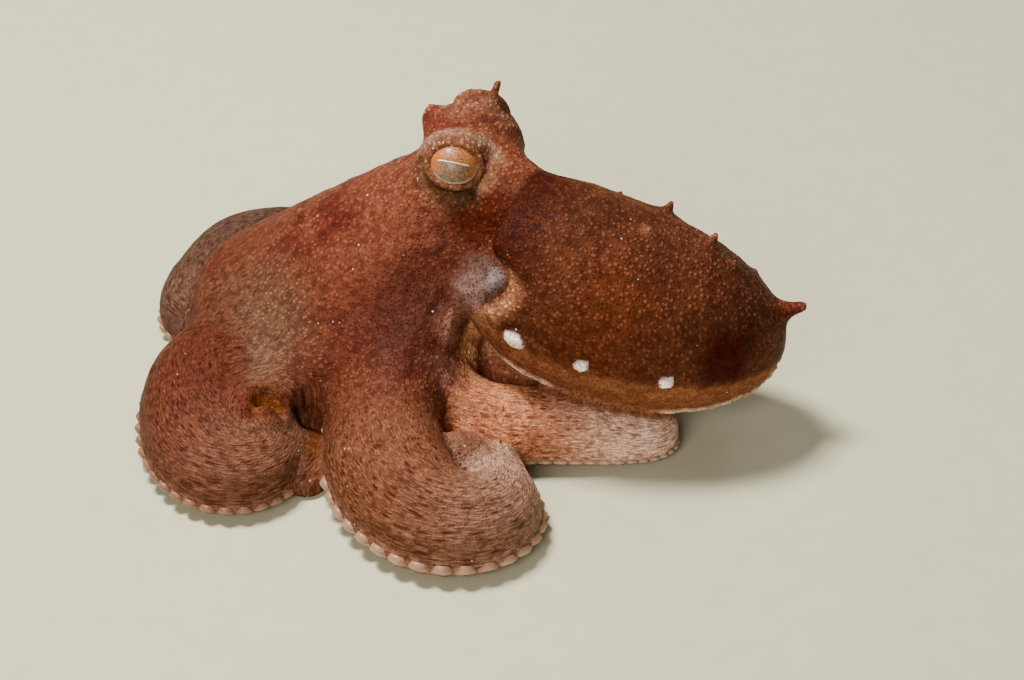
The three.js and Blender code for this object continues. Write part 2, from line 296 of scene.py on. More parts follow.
def spike(foot, tip, wide, blunt=0.35, bend=(0.0, 0.0, 0.0), rows=14, sides=14):
    """A papilla: rings from foot to tip, swaying by 4 t (1 - t) times the bend.

    The width is wide (blunt + (1 - blunt)(1 - t)^1.6), drawn in to a round end by the square root
    of 1 - 0.8 t^6. The first rings lie below the foot, inside the body.
    """
    foot, tip = np.asarray(foot, float), np.asarray(tip, float)
    along = unit(tip - foot)
    left = unit(np.cross(along, [0.3, 0.9, 0.1]))
    up = np.cross(along, left)
    t = np.linspace(-0.35, 1, rows)[:, None, None]
    u = np.linspace(0, 2 * math.pi, sides, endpoint=False)[None, :, None]
    share = np.clip(t, 0, 1)
    width = wide * (blunt + (1 - blunt) * (1 - share) ** 1.6) * np.sqrt(1 - share ** 6 * 0.8)
    sway = np.asarray(bend) * share * (1 - share) * 4
    rings = foot + (tip - foot) * t + sway + width * (left * np.cos(u) + up * np.sin(u))
    return closed_surface(rings, rings[0].mean(0), rings[-1].mean(0))


def tube(start, end, start_radius, end_radius, rows=16, sides=28):
    """Round rings from start to end, the radius changing evenly."""
    start, end = np.asarray(start, float), np.asarray(end, float)
    along = unit(end - start)
    left = unit(np.cross([0.0, 0.0, 1.0], along))
    up = np.cross(along, left)
    t = np.linspace(0, 1, rows)[:, None, None]
    u = np.linspace(0, 2 * math.pi, sides, endpoint=False)[None, :, None]
    radius = start_radius + (end_radius - start_radius) * t
    rings = start + (end - start) * t + radius * (left * np.cos(u) + up * np.sin(u))
    return closed_surface(rings, start, end)


print("a ball has", len(ball(HEAD, (1, 1, 1))[1]), "triangles")

# %% Head surfaces
head_surfaces = [
    ball(HEAD, (6.0, 6.8, 7.4)),
    ball(LEFT_TURRET, (4.1, 3.9, 3.9)),
    ball(RIGHT_TURRET, (5.2, 4.0, 3.25)),
    ball(np.array([5.2, 8.2, 27.8]), (2.4, 2.6, 2.0)),
    ball(np.array([7.2, 5.0, 25.2]), (4.2, 4.6, 3.6)),
    ball(np.array([11.5, 0.7, 22.9]), (4.8, 5.0, 4.4), math.radians(-17)),
    ball(np.array([10.3, 4.6, 25.2]), (3.2, 3.6, 3.2)),
    tube(HEAD, (15.2, -2.9, 17.0), 6.2, 5.5),
    tube((10.6, -3.0, 17.6), (6.3, -5.7, 15.0), 2.2, 1.35),
    ball(np.array([8.4, -5.6, 15.6]), (2.3, 1.8, 2.1)),
]
print("head surfaces:", len(head_surfaces))

# %% [markdown]
# ## The web
# A tent of skin runs from the head down to the arms, and the front arms have the widest share of it.
# It is a polar surface: at each compass angle a slope comes down from the neck to a knee, and from
# there the skin drops to the floor. Wider lobes are bell curves added to the reach of the slope.

# %% Web surface
WEB_TOP = np.array([6.5, 3.8, 25.0])
WEB_FRONT, WEB_PLEAT = 147.0, 230.0
NECK_RADIUS = 5.2


def web_surface(rows=56, sides=144):
    """Radius and height for each compass angle and level, from the top (1) to the floor (-1).

    The two lobes, wide in front and narrow at the pleat, are bell curves of the compass angle.
    """
    degrees = np.arange(sides) * 360.0 / sides
    front = bump(angle_gap(degrees, WEB_FRONT), 0, 60)
    pleat = bump(angle_gap(degrees, WEB_PLEAT), 0, 28)
    reach = 9.0 + 16.0 * front + 4.0 * pleat
    knee = 7.0 + 2.6 * front
    level = np.linspace(1, -1, rows)[:, None]
    up, down = np.clip(level, 0, 1), np.clip(-level, 0, 1)
    height = np.where(level < 0, knee * (1 - down), knee + (WEB_TOP[2] - knee) * up)
    slope = NECK_RADIUS + (reach - NECK_RADIUS) * (1 - up) ** 0.95
    radius = np.where(level < 0, reach * (1 - 0.22 * pleat * down), slope)
    lean = height / WEB_TOP[2]
    angle = np.radians(degrees)
    rings = np.stack([
        WEB_TOP[0] * lean + radius * np.cos(angle),
        WEB_TOP[1] * lean + radius * np.sin(angle),
        height,
    ], -1)
    return closed_surface(rings, WEB_TOP, np.zeros(3))


web = web_surface()
print("web reaches", round(float(-web[0][:, 0].min()), 1), "mm forward")

# %% [markdown]
# ## The arms
# Eight arms start under the head, come down to the floor and curl. Each one is a table of numbers:
# where it starts, which way it heads, and a list of turns. Adding the turns up along the arm gives
# its heading, and stepping along the heading gives its line on the floor. An oval section carried
# along that line, thinning to the tip, gives the arm.

# %% Arm table
ARMS = {
    "left_1": dict(start=(2, 2, 16), heading=180, length=58, drop=22, wide=5.1, tall=5.0,
                   fullness=3.8, lean=0.2, turns=[(12, 18, 92), (27.5, 29.5, 112), (38, 8, 76)]),
    "left_2": dict(start=(3, -1, 15), heading=250, length=51, drop=17, wide=5.6, tall=5.6,
                   fullness=3.0, lean=0.25, turns=[(4.4, 30, 72), (24.9, 15, 130), (43.5, 8, 150)]),
    "left_3": dict(start=(6, 0.5, 14), heading=257, length=37, drop=16, wide=3.9, tall=4.0,
                   fullness=5.0, lean=0, turns=[(5.2, 9, 101), (24.5, 14.5, 6), (28.5, 8, 140)]),
    "left_4": dict(start=(8.5, 1.2, 12), heading=314, length=32, drop=12, wide=2.9, tall=3.0,
                   fullness=3.0, lean=0, turns=[(2.5, 8.6, 56), (11.8, 16, 120), (23, 9, 90)]),
    "right_1": dict(start=(2, 5, 16), heading=122, length=52, drop=22, wide=4.7, tall=4.8,
                    fullness=3.4, lean=0.05, turns=[(7, 10, 12), (18, 15, 108), (35, 12, 130)]),
    "right_2": dict(start=(4.5, 5, 16), heading=99, length=47, drop=18, wide=4.2, tall=4.5,
                    fullness=3.0, lean=0, turns=[(2, 14, 14), (20, 14, -125), (34, 10, -130)]),
    "right_3": dict(start=(6.5, 5, 15), heading=76, length=46, drop=17, wide=4.0, tall=4.2,
                    fullness=3.0, lean=0, turns=[(3, 19, -32), (21, 16, -125), (35, 9, -140)]),
    "right_4": dict(start=(8, 3, 13), heading=38, length=46, drop=14, wide=3.6, tall=3.8,
                    fullness=3.0, lean=0, turns=[(3.4, 16, -26), (21, 16, -120), (34, 9, -130)]),
}
print("arms:", len(ARMS), "from", min(arm["length"] for arm in ARMS.values()), "mm long")


# %% Arm line and section
ARM_STEPS = 400


def arm_bearing(arm, distance):
    """The heading in radians: the first heading plus each turn times its smoothstep."""
    total = np.full(np.shape(distance), float(arm["heading"]))
    for start, over, degrees in arm["turns"]:
        total += degrees * smoothstep(start, start + over, distance)
    return np.radians(total)


def arm_section(arm, distance):
    """Centre, left direction, half widths left and right, half height for each distance.

    The line is the running sum of short steps along the heading. The half width falls as
    1 - 0.9 share^fullness, and on the inside of a bend it is pressed below the bend's own radius.
    """
    length = arm["length"]
    steps = np.linspace(0, length, ARM_STEPS + 1)
    bearing = arm_bearing(arm, (steps[1:] + steps[:-1]) / 2)
    x = arm["start"][0] + np.concatenate([[0], np.cumsum(np.cos(bearing))]) * length / ARM_STEPS
    y = arm["start"][1] + np.concatenate([[0], np.cumsum(np.sin(bearing))]) * length / ARM_STEPS
    angle = arm_bearing(arm, distance)
    bend = arm_bearing(arm, distance + 0.5) - arm_bearing(arm, distance - 0.5)
    share = distance / length
    taper = 1 - 0.9 * share ** arm["fullness"]
    rounded = np.sqrt(1 - np.clip((share - 0.95) / 0.05, 0, 0.999) ** 2)
    drop = np.clip(1 - distance / arm["drop"], 0, 1) ** 1.5
    height = 0.94 * arm["tall"] * taper + (arm["start"][2] - arm["tall"]) * drop
    centre = np.stack([np.interp(distance, steps, x), np.interp(distance, steps, y), height], -1)
    left = np.stack([-np.sin(angle), np.cos(angle), np.zeros_like(angle)], -1)
    wide, pressed = arm["wide"] * taper * rounded, 0.85 / np.maximum(np.abs(bend), 1e-6)
    left_wide = np.where(bend > 0, np.minimum(wide, pressed), wide)
    right_wide = np.where(bend < 0, np.minimum(wide, pressed), wide)
    return centre, left, left_wide, right_wide, arm["tall"] * taper * rounded


half_wide = float(arm_section(ARMS["left_1"], np.array([20.0]))[2][0])
print("the first arm is", round(2 * half_wide, 1), "mm wide, 20 mm along")


# %% Arm surfaces
def arm_points(arm, distance, angle):
    """Skin points: centre + left(wide cos + lean rise) + up rise, rise = tall sin, kept above 0.

    Below the middle the cosine is raised to the power 0.75, which makes the lower edges squarer.
    """
    centre, left, left_wide, right_wide, tall = arm_section(arm, distance)
    rise = tall * np.sin(angle)
    cosine = np.cos(angle)
    wide = np.where(cosine > 0, left_wide, right_wide)
    power = np.where(rise < 0, 0.75, 1.0)
    sideways = wide * np.sign(cosine) * np.abs(cosine) ** power + arm["lean"] * rise
    points = centre + left * sideways[..., None]
    points[..., 2] = np.maximum(points[..., 2] + rise, 0)
    return points


def arm_surface(arm, spacing=0.5, sides=44):
    """The arm's closed surface, with rings every spacing millimetres."""
    distance = np.linspace(0, arm["length"] - 0.05, int(arm["length"] / spacing))
    angle = np.linspace(0, 2 * math.pi, sides, endpoint=False)
    rings = arm_points(arm, distance[:, None], angle[None, :] * np.ones((len(distance), 1)))
    return closed_surface(rings, rings[0].mean(0), rings[-1].mean(0))


arm_surfaces = [arm_surface(arm) for arm in ARMS.values()]
print("arm grids:", sum(len(points) for points, _ in arm_surfaces), "points")

# %% [markdown]
# ## Folds between the arms
# Skin hangs between the front arms on the left. It fills the hollow inside the first arm's loop,
# and a thin fold reaches from there to the second arm like the rim of a roof, over a dark recess.
# Smaller pads of skin fill the second arm's coil and the corner between the third and fourth arms.
# Flattened balls are enough for all of these, because the wrap melts them into the arms.

# %% Fold surfaces
folds = [
    ball(np.array([-14.6, -11.6, 4.3]), (4.6, 5.6, 4.3)),
    ball(np.array([-16.6, -5.0, 4.4]), (4.4, 5.5, 4.9)),
    ball(np.array([-9.0, -6.8, 7.0]), (5.4, 3.9, 2.3)),
    ball(np.array([-8.2, -13.4, 0.8]), (2.6, 5.4, 2.0)),
    ball(np.array([-6.0, -6.5, 7.4]), (5.0, 4.5, 4.2)),
    ball(np.array([7.2, -17.4, 2.9]), (3.5, 3.3, 4.3)),
    ball(np.array([10.3, -4.6, 3.2]), (2.6, 2.4, 2.8)),
]
print("folds:", len(folds))

# %% [markdown]
# ## Papillae
# Papillae are spikes of skin that the animal can raise. A tall one stands over the right eye, a blunt
# one sticks out at the tail, and small ones lie scattered on the back, the brows and the web. They
# are joined to the rest before the skin is wrapped, so their feet flow into it.


# %% Papilla surfaces
def mantle_spike(along, around, backward, wide, tall, **more):
    """A papilla on the mantle at a share along it and an angle round it, tipped to the tail."""
    point, back, right, up = mantle_frame(along)
    spoke = right * math.cos(math.radians(around)) + up * math.sin(math.radians(around))
    foot = point + float(mantle_radius(np.array(along))) * spoke
    return spike(foot, foot + tall * unit(spoke + back * backward), wide, **more)


papillae = [
    mantle_spike(0.95, 105, 2.0, 1.1, 2.8, blunt=0.6),
    mantle_spike(0.47, 62, 0.2, 0.8, 1.5, blunt=0.5),
    mantle_spike(0.64, 84, 0.2, 0.75, 1.3, blunt=0.5),
    mantle_spike(0.73, 97, 0.2, 0.55, 0.9, blunt=0.5),
    mantle_spike(0.30, 40, 0.2, 0.7, 1.1, blunt=0.5),
    mantle_spike(0.52, 20, 0.2, 0.65, 1.0, blunt=0.5),
    mantle_spike(0.40, 100, 0.1, 0.55, 0.5, blunt=0.5),
    mantle_spike(0.86, 60, 0.3, 0.55, 0.8, blunt=0.5),
    spike((10.5, 8.0, 28.2), (10.65, 8.2, 32.65), 1.15, blunt=0.62, bend=(-0.2, 0, 0)),
    spike((12.4, 7.6, 27.6), (13.3, 7.5, 27.9), 0.6, blunt=0.5),
    spike((12.6, 7.0, 25.6), (13.5, 6.8, 25.6), 0.55, blunt=0.5),
    spike((4.4, 8.4, 28.7), (3.4, 8.7, 29.7), 0.6, blunt=0.5),
    spike((6.8, 8.2, 29.5), (6.8, 8.2, 30.4), 0.6, blunt=0.5),
    spike((7.4, 2.4, 29.3), (7.7, 2.5, 30.4), 0.6, blunt=0.5),
    spike((2.6, 1.6, 27.2), (1.7, 1.6, 28.2), 0.6, blunt=0.5),
    spike((-9.2, 6.2, 17.6), (-9.9, 6.4, 18.8), 0.8, blunt=0.6),
]
print("papillae:", len(papillae))

# %% [markdown]
# ## Wrapping one skin round them all
# The mantle, head, web, arms and papillae overlap, and a living skin has no seams where they meet. A
# voxel remesh fills a grid of tiny cubes inside all of them and wraps one new mesh round the filled
# cubes. The head needs smaller cubes than the rest, so before the remesh space is stretched about
# the head, and afterwards it is let go again.

# %% Stretching space about the head
FOCUS = np.array([6.5, 2.0, 25.0])
STRETCH, STRETCH_REACH = 0.6, 5.0
VOXEL = 0.42


def stretched(points):
    """Each point moved straight away from the focus by stretch x reach x tanh(r / reach)."""
    away = points - FOCUS
    r = np.linalg.norm(away, axis=1)
    moved = r + STRETCH * STRETCH_REACH * np.tanh(r / STRETCH_REACH)
    return FOCUS + away * (moved / np.maximum(r, 1e-9))[:, None]


def released(points):
    """The inverse of stretched: the same rule read backwards from a table of radii."""
    away = points - FOCUS
    moved = np.linalg.norm(away, axis=1)
    table = np.linspace(0, 120, 6000)
    r = np.interp(moved, table + STRETCH * STRETCH_REACH * np.tanh(table / STRETCH_REACH), table)
    return FOCUS + away * (r / np.maximum(moved, 1e-9))[:, None]


five_away = stretched(FOCUS + np.array([[5.0, 0.0, 0.0]]))
print("a point 5 mm from the focus moves to", round(float(five_away[0, 0] - FOCUS[0]), 2), "mm")


# %% Voxel remesh
def wrapped(points, faces, voxel):
    """The points and quads of a voxel remesh, which wraps closed, overlapping surfaces as one."""
    body = bpy.data.objects.new("wrap", make_mesh("wrap", points, faces))
    bpy.context.scene.collection.objects.link(body)
    remesh = body.modifiers.new("voxels", "REMESH")
    remesh.mode = "VOXEL"
    remesh.voxel_size = voxel
    done = body.evaluated_get(bpy.context.evaluated_depsgraph_get()).to_mesh()
    new_points = np.empty(len(done.vertices) * 3, np.float32)
    done.vertices.foreach_get("co", new_points)
    corners = np.empty(len(done.loops), np.int32)
    done.loops.foreach_get("vertex_index", corners)
    quads = corners.reshape(-1, 4)
    body.to_mesh_clear()
    bpy.data.objects.remove(body)
    return new_points.reshape(-1, 3).astype(float), quads


all_points, all_faces = joined([mantle, web, *head_surfaces, *arm_surfaces, *folds, *papillae])
skin, quads = wrapped(stretched(all_points), all_faces, VOXEL)
skin = released(skin)
print("wrapped skin:", len(skin), "points,", len(quads) * 2, "triangles")

# %% [markdown]
# ## Knowing where each point is
# Wrinkles, colours and suckers follow the body, so every point of the skin needs an address on it:
# which arm it is on, how far along and how far round, and the same for the mantle. The address comes
# from the nearest sample of the arm's line. The section there tells how far out the point is.


# %% Addresses on an axis
def nearest_sample(points, samples, step=6000):
    """The number of the nearest sample for each point, found a block of points at a time.

    It has the smallest s.s - 2 p.s, the squared distance less p.p, which is the same for all.
    """
    square = (samples ** 2).sum(1)
    return np.concatenate([
        (square - 2 * points[i:i + step] @ samples.T).argmin(1) for i in range(0, len(points), step)
    ])


def arm_address(points, arm):
    """Distance along, angle round and how many half widths out.

    The angle is 0 to the left of the arm's heading and a quarter turn on top.
    """
    distance = np.arange(0, arm["length"], 0.2)
    centre, left, left_wide, right_wide, tall = arm_section(arm, distance)
    near = nearest_sample(points, centre)
    away = points - centre[near]
    sideways = (away * left[near]).sum(1) - arm["lean"] * away[:, 2]
    wide = np.where(sideways > 0, left_wide[near], right_wide[near])
    out_left, out_up = sideways / np.maximum(wide, 0.3), away[:, 2] / np.maximum(tall[near], 0.3)
    return distance[near], np.arctan2(out_up, out_left), np.hypot(out_left, out_up)


def mantle_address(points):
    """Share along the mantle, angle round it in degrees, and how many radii out.

    The angle is 0 on the animal's right, 90 on top, 180 on its left and 270 underneath.
    """
    along = np.linspace(0, 1, 300)
    axis, _, right, up = mantle_frame(along)
    near = nearest_sample(points, axis)
    away = points - axis[near]
    upward, sideways = (away * up[near]).sum(1), (away * right[near]).sum(1)
    around = np.degrees(np.arctan2(upward, sideways)) % 360
    radius = np.maximum(mantle_radius(along[near]), 1.5)
    return along[near], around, np.linalg.norm(away, axis=1) / radius


print("the tail's share along the mantle:", mantle_address(TAIL[None])[0][0])


# %% [markdown]
# ## Relaxing the creases
# The new skin has a sharp crease wherever two bodies met. Moving each point part of the way to the
# average of its neighbours, again and again, rounds the creases into fillets. Plain smoothing would
# shrink the arms too, so most of the rounds move points only outwards, which fills the hollows. The
# papillae are held back, as they would melt away, and so is the mantle but for the part of its top
# where it is joined to the head.


# %% Smoothing
def edges_of(quads):
    """Each edge once, as pairs of point numbers."""
    pairs = np.concatenate([quads[:, [0, 1]], quads[:, [1, 2]], quads[:, [2, 3]], quads[:, [3, 0]]])
    return np.unique(np.sort(pairs, axis=1), axis=0)


def relaxed(points, edges, rounds, amount):
    """Each round moves points by amount times (average of neighbours - point)."""
    count = len(points)
    a, b = edges.T
    neighbours = np.bincount(edges.ravel(), minlength=count)[:, None]
    for _ in range(rounds):
        sums = np.stack([
            np.bincount(a, points[b, k], count) + np.bincount(b, points[a, k], count)
            for k in range(3)
        ], -1)
        points = points + amount * (sums / neighbours - points)
    return points


def filled(points, quads, edges, rounds, amount):
    """Like relaxed, but points move only outwards, so hollows fill and ridges keep their height."""
    for _ in range(rounds // 10):
        normals = normals_of(points, quads)
        for _ in range(10):
            step = relaxed(points, edges, 1, 1.0) - points
            outward = np.maximum((step * normals).sum(1), 0)[:, None]
            points = points + amount * outward * normals
    return points


def normals_of(points, quads):
    """Unit normals: the cross products of each quad's diagonals, added up at its corners."""
    one, two, three, four = (points[quads[:, corner]] for corner in range(4))
    cross = np.cross(three - one, four - two)
    total = np.zeros_like(points)
    for corner in range(4):
        for k in range(3):
            total[:, k] += np.bincount(quads[:, corner], cross[:, k], len(points))
    return unit(total)


def distance_to(points, targets, step=4000):
    """The distance from each point to the nearest of a few targets."""
    pieces = [
        np.sqrt(((points[i:i + step, None] - targets) ** 2).sum(-1).min(1))
        for i in range(0, len(points), step)
    ]
    return np.concatenate(pieces)


print("one quad has", len(edges_of(np.array([[0, 1, 2, 3]]))), "edges")

# %% Rounded creases
edges = edges_of(quads)
tips = np.stack([points[-1] for points, _ in papillae])
hold = smoothstep(0.6, 2.2, distance_to(skin, tips))[:, None]
_, raw_around, raw_out = mantle_address(skin)
fused = 1 - smoothstep(50.0, 67.0, angle_gap(raw_around, TOP_OF_MANTLE))
clear_of_mantle = np.maximum(smoothstep(1.1, 1.5, raw_out), fused)[:, None]
skin = relaxed(skin, edges, 3, 0.5)
skin = filled(skin, quads, edges, 160, 0.7 * hold * clear_of_mantle)
skin = relaxed(skin, edges, 10, 0.5 * hold)
skin[:, 2] = np.maximum(skin[:, 2], 0)
print("skin spans", skin.min(0).round(1), "to", skin.max(0).round(1))

# %% The address of every skin point
arm_addresses = np.array([arm_address(skin, arm) for arm in ARMS.values()])
on_arm = arm_addresses[:, 2].argmin(0)
arm_along, arm_angle, arm_out = arm_addresses[on_arm, :, np.arange(len(skin))].T
arm_wide = np.array([arm["wide"] for arm in ARMS.values()])[on_arm]
arm_share = arm_along / np.array([arm["length"] for arm in ARMS.values()])[on_arm]
mantle_along, mantle_around, mantle_out = mantle_address(skin)
past_lip = mantle_along * MANTLE_LENGTH - lip_shift(mantle_around)
is_mantle = smoothstep(0.82, 0.9, mantle_out) * (1 - smoothstep(1.05, 1.15, mantle_out))
is_mantle *= smoothstep(-0.5, 0.4, past_lip) * smoothstep(6.0, 7.5, skin[:, 0])
is_arm = (1 - smoothstep(1.02, 1.2, arm_out)) * (1 - is_mantle)
is_head = smoothstep(19, 23, skin[:, 2]) * (1 - is_mantle)
is_web = np.clip(1 - is_mantle - is_arm - is_head, 0, 1)
print("arm points:", int((is_arm > 0.5).sum()), "mantle points:", int((is_mantle > 0.5).sum()))

# %% [markdown]
# ## Eyelids
# The skin opens round each eye in a rounded almond, rolls over at the edge as a soft lid, and rises
# into a brow. Seen from the middle of the eyeball, each skin point near the eye has a direction and
# a distance. Keeping the direction and setting the distance from how far the direction is from the
# middle of the opening makes the opening, the lid and the crease behind it in one go.

# %% Eye frames
EYE_RADIUS = 2.75
EYE_FORWARD = 1.6
OPENING = np.radians([60.0, 43.0])
SLIT_LINE = np.array([0.974, 0.0, -0.225])
GAZE_LIFT = 30.0


def eye_frame(turret, heading):
    """Eyeball middle, and the directions of the slit, of up on the eye, and of the gaze.

    The slit is the slit line less its part along the gaze, and up is square to both.
    """
    turn, lift = math.radians(heading), math.radians(GAZE_LIFT)
    level = math.cos(lift)
    gaze = np.array([math.cos(turn) * level, math.sin(turn) * level, math.sin(lift)])
    slit = unit(SLIT_LINE - gaze * (SLIT_LINE @ gaze))
    up = np.cross(gaze, slit)
    return turret + EYE_FORWARD * gaze, slit, up * np.sign(up[2]), gaze


EYES = {"eye_left": eye_frame(LEFT_TURRET, 270.0), "eye_right": eye_frame(RIGHT_TURRET, 74.0)}
print("the left eye looks along", EYES["eye_left"][3].round(2))


# %% The skin near an eye
def eye_address(points, frame_of_eye):
    """Distance from the eyeball's middle, openings out from the gaze, and slant from 1 to -1.

    The second is the angle from the gaze divided by the opening's half angle on that side, and the
    third is the sine of the direction round the gaze, which is 1 straight above and -1 below.
    """
    middle, slit, up, gaze = frame_of_eye
    away = points - middle
    r = np.linalg.norm(away, axis=1)
    a, b, c = away @ slit / r, away @ up / r, away @ gaze / r
    around = np.arctan2(b, a)
    reach = 1 / np.hypot(np.cos(around) / OPENING[0], np.sin(around) / OPENING[1])
    return r, np.arccos(np.clip(c, -1, 1)) / reach, np.sin(around)


def with_eyelids(points, frame_of_eye):
    """The skin near an eye, each point kept in its direction and set at a new distance.

    The distance is the ball's radius plus a bell curve for each of the lid, the crease, the brow
    above and the pouch below. Inside the opening the skin sinks below the ball, out of sight.
    """
    r, out, slant = eye_address(points, frame_of_eye)
    lid = 0.42 * bump(out, 1.13, 0.13) + 0.2 * bump(out, 1.0, 0.1)
    crease = -0.12 * bump(out, 1.34, 0.07) * (0.4 + 0.6 * np.clip(slant, 0, 1))
    brow = 0.75 * bump(out, 1.75, 0.3) * smoothstep(0.0, 0.8, slant)
    pouch = 0.25 * bump(out, 1.6, 0.25) * smoothstep(0.1, -0.7, slant)
    sunk = 0.75 * (1 - smoothstep(0.84, 1.04, out))
    target = EYE_RADIUS + 0.05 + lid + crease + brow + pouch - sunk
    near = (1 - smoothstep(1.15, 2.1, out)) * (1 - smoothstep(4.6, 5.6, r))
    wanted = r + near * (target - r)
    middle = frame_of_eye[0]
    return middle + (points - middle) * (wanted / r)[:, None]


# %% Eyelids, and each skin point's place round the eyes
for frame_of_eye in EYES.values():
    skin = with_eyelids(skin, frame_of_eye)
(left_r, left_out, left_slant), (right_r, right_out, right_slant) = (
    eye_address(skin, frame_of_eye) for frame_of_eye in EYES.values()
)
FAR_OUT = 9
left_out = left_out + FAR_OUT * smoothstep(4.6, 6.0, left_r)
right_out = right_out + FAR_OUT * smoothstep(4.6, 6.0, right_r)
eye_out = np.minimum(left_out, right_out)
eye_slant = np.where(left_out < right_out, left_slant, right_slant)
print("skin points round the eyes:", int((eye_out < 1.5).sum()))

# %% [markdown]
# ## Keel, fold and white spots
# A pale fringe runs along the lower side of the mantle, with a softer fold above it that carries a
# few raised white spots. They could be a bump in the material, but moving the skin along its own
# normal, by a height worked out from each point's address, makes real relief that shows in the
# outline as well. The keel stops where an arm lies against the mantle.

# %% Mantle relief
KEEL_ANGLE = 231.0
KEEL_HEIGHT, FOLD_HEIGHT, SPOT_HEIGHT = 0.42, 0.28, 0.32
SPOTS = [(0.180, 198.0, 1.0), (0.365, 192.0, 0.62), (0.600, 190.0, 0.72)]


def mirrored(angle):
    """180 less an angle round the mantle, which carries it over from one side to the other."""
    return (180.0 - angle) % 360


def side_gap(around, angle):
    """Degrees from a line that runs along the mantle, or from its mirror image if that is nearer."""
    return np.minimum(angle_gap(around, angle), angle_gap(around, mirrored(angle)))


def spot_distance(along, around, spot):
    """Millimetres over the mantle from a spot's middle, on the side where it is nearer.

    The square root of (length along)^2 + (radius there times the angle between)^2.
    """
    share, angle, _ = spot
    return np.hypot((along - share) * MANTLE_LENGTH, np.radians(side_gap(around, angle)) * 9.5)


keel_gap = side_gap(mantle_around, KEEL_ANGLE)
keel = is_mantle * bump(keel_gap, 0, 2.2) * smoothstep(0.02, 0.06, mantle_along)
keel *= smoothstep(1.02, 1.25, arm_out)
fold_line = 199 - 14 * mantle_along
fold_gap = side_gap(mantle_around, fold_line)
fold = is_mantle * bump(fold_gap, 0, 4.5) * bump(mantle_along, 0.38, 0.42)
white_spot = np.zeros(len(skin))
for spot in SPOTS:
    apart = spot_distance(mantle_along, mantle_around, spot)
    white_spot = np.maximum(white_spot, is_mantle * (1 - smoothstep(0.72, 1.05, apart / spot[2])))
mantle_relief = KEEL_HEIGHT * keel + FOLD_HEIGHT * fold + SPOT_HEIGHT * white_spot
print("keel points:", int((keel > 0.5).sum()))

# %% [markdown]
# ## The way the lines run
# Fine lines run along the arms, down the web and along the mantle. To draw them, each point gets a
# course: the distance along its own body, the distance across it, and a third number that keeps the
# bodies apart. Where the web folds in beside the first arm, and where the second arm ends in a
# coil, the lines turn about an upright axis instead.

# %% Course of the lines
SWIRL = np.array([-11.7, -13.6])
COIL = np.array([7.4, -17.8])
around_arm = (arm_angle + math.pi / 2) % (2 * math.pi)
arm_course = np.stack([arm_along, around_arm * arm_wide, on_arm * 37.0], -1)
from_top = skin - WEB_TOP
compass = np.arctan2(from_top[:, 1] - 0.2, from_top[:, 0]) % (2 * math.pi)
slant_distance = np.linalg.norm(from_top, axis=1)
everywhere = np.ones(len(skin))
web_course = np.stack([slant_distance, compass * 13.0, everywhere * 400.0], -1)
mantle_run, mantle_turn = mantle_along * MANTLE_LENGTH, np.radians(mantle_around)
mantle_course = np.stack([mantle_run, mantle_turn * 8.5, everywhere * 700.0], -1)


def swirl_about(centre):
    """The turn and distance of each skin point about an upright axis, and a course made of them."""
    away = skin[:, :2] - centre
    turn, radius = np.arctan2(away[:, 1], away[:, 0]) % (2 * math.pi), np.hypot(*away.T)
    return turn, radius, np.stack([turn * 5.0, radius * 1.3, everywhere * 900.0], -1)


swirl_turn, swirl_radius, swirl_course = swirl_about(SWIRL)
_, coil_radius, coil_course = swirl_about(COIL)
in_coil = 1 - smoothstep(3.0, 4.2, coil_radius)
web_course = np.where((swirl_radius < 7.5)[:, None], swirl_course, web_course)
web_course = np.where((in_coil > 0.1)[:, None], coil_course, web_course)
course = np.where((is_arm > 0.5)[:, None], arm_course, web_course)
course = np.where((is_mantle > 0.5)[:, None], mantle_course, course)
print("points in the coil:", int((in_coil > 0.5).sum()))

# %% [markdown]
# ## Wrinkles, and the hollow beside the first arm
# Long wrinkles are noise that is stretched along the course, and lumps are plain noise. The eyes and
# the flat underside stay smooth. The hollow is a short ditch round the swirl's middle, with a low
# bank outside it, and both fade out round the back.

# %% Arm and web relief
long_wrinkles = noise(course / [4.5, 1.0, 1.0], 1.0, 3)
long_wrinkles = long_wrinkles + 0.5 * noise(course / [2.6, 0.62, 1.0], 1.0, 4)
lumps = noise(skin, 1.5, 5) + 0.6 * noise(skin, 0.85, 6)
calm = smoothstep(1.25, 1.7, eye_out) * smoothstep(0.15, 1.2, skin[:, 2])
arm_relief = calm * is_arm * (0.10 * long_wrinkles + 0.04 * lumps)
body_relief = calm * (1 - is_arm) * (0.07 * lumps + 0.035 * long_wrinkles * is_web)
HOLLOW_FACING = 110.0
hollow_gap = angle_gap(np.degrees(swirl_turn), HOLLOW_FACING)
hole = bump(swirl_radius, 1.5, 0.6) * bump(hollow_gap, 0, 75) * smoothstep(5.5, 6.5, skin[:, 2])
bank = bump(swirl_radius, 2.9, 0.7) * bump(hollow_gap, 0, 90)
swirl_relief = -1.5 * hole + 0.35 * bank
relief = mantle_relief + arm_relief + body_relief + swirl_relief
skin = skin + relief[:, None] * normals_of(skin, quads)
skin[:, 2] = np.maximum(skin[:, 2], 0)
print("relief from", round(float(relief.min()), 2), "to", round(float(relief.max()), 2), "mm")

# %% [markdown]
# ## Suckers
# Each arm carries two rows of suckers on its underside, one along each edge. With the arms at rest on
# the floor only their outer rims show, as pale scallops along the lower edge. A sucker is a profile
# turned about an axis: up the outside, over the rim and down into the cup. All of them are one mesh
# made from a single array, and a sucker is left out where the skin has closed over its place.

# %% Places for the suckers
SUCKER_ANGLES = (-38, -142)
SUCKER_SIZE, SUCKER_SPACING = 0.21, 2.05
FIRST_SUCKER, LAST_SUCKER = 0.2, 0.985
EDGE_STEPS = 600


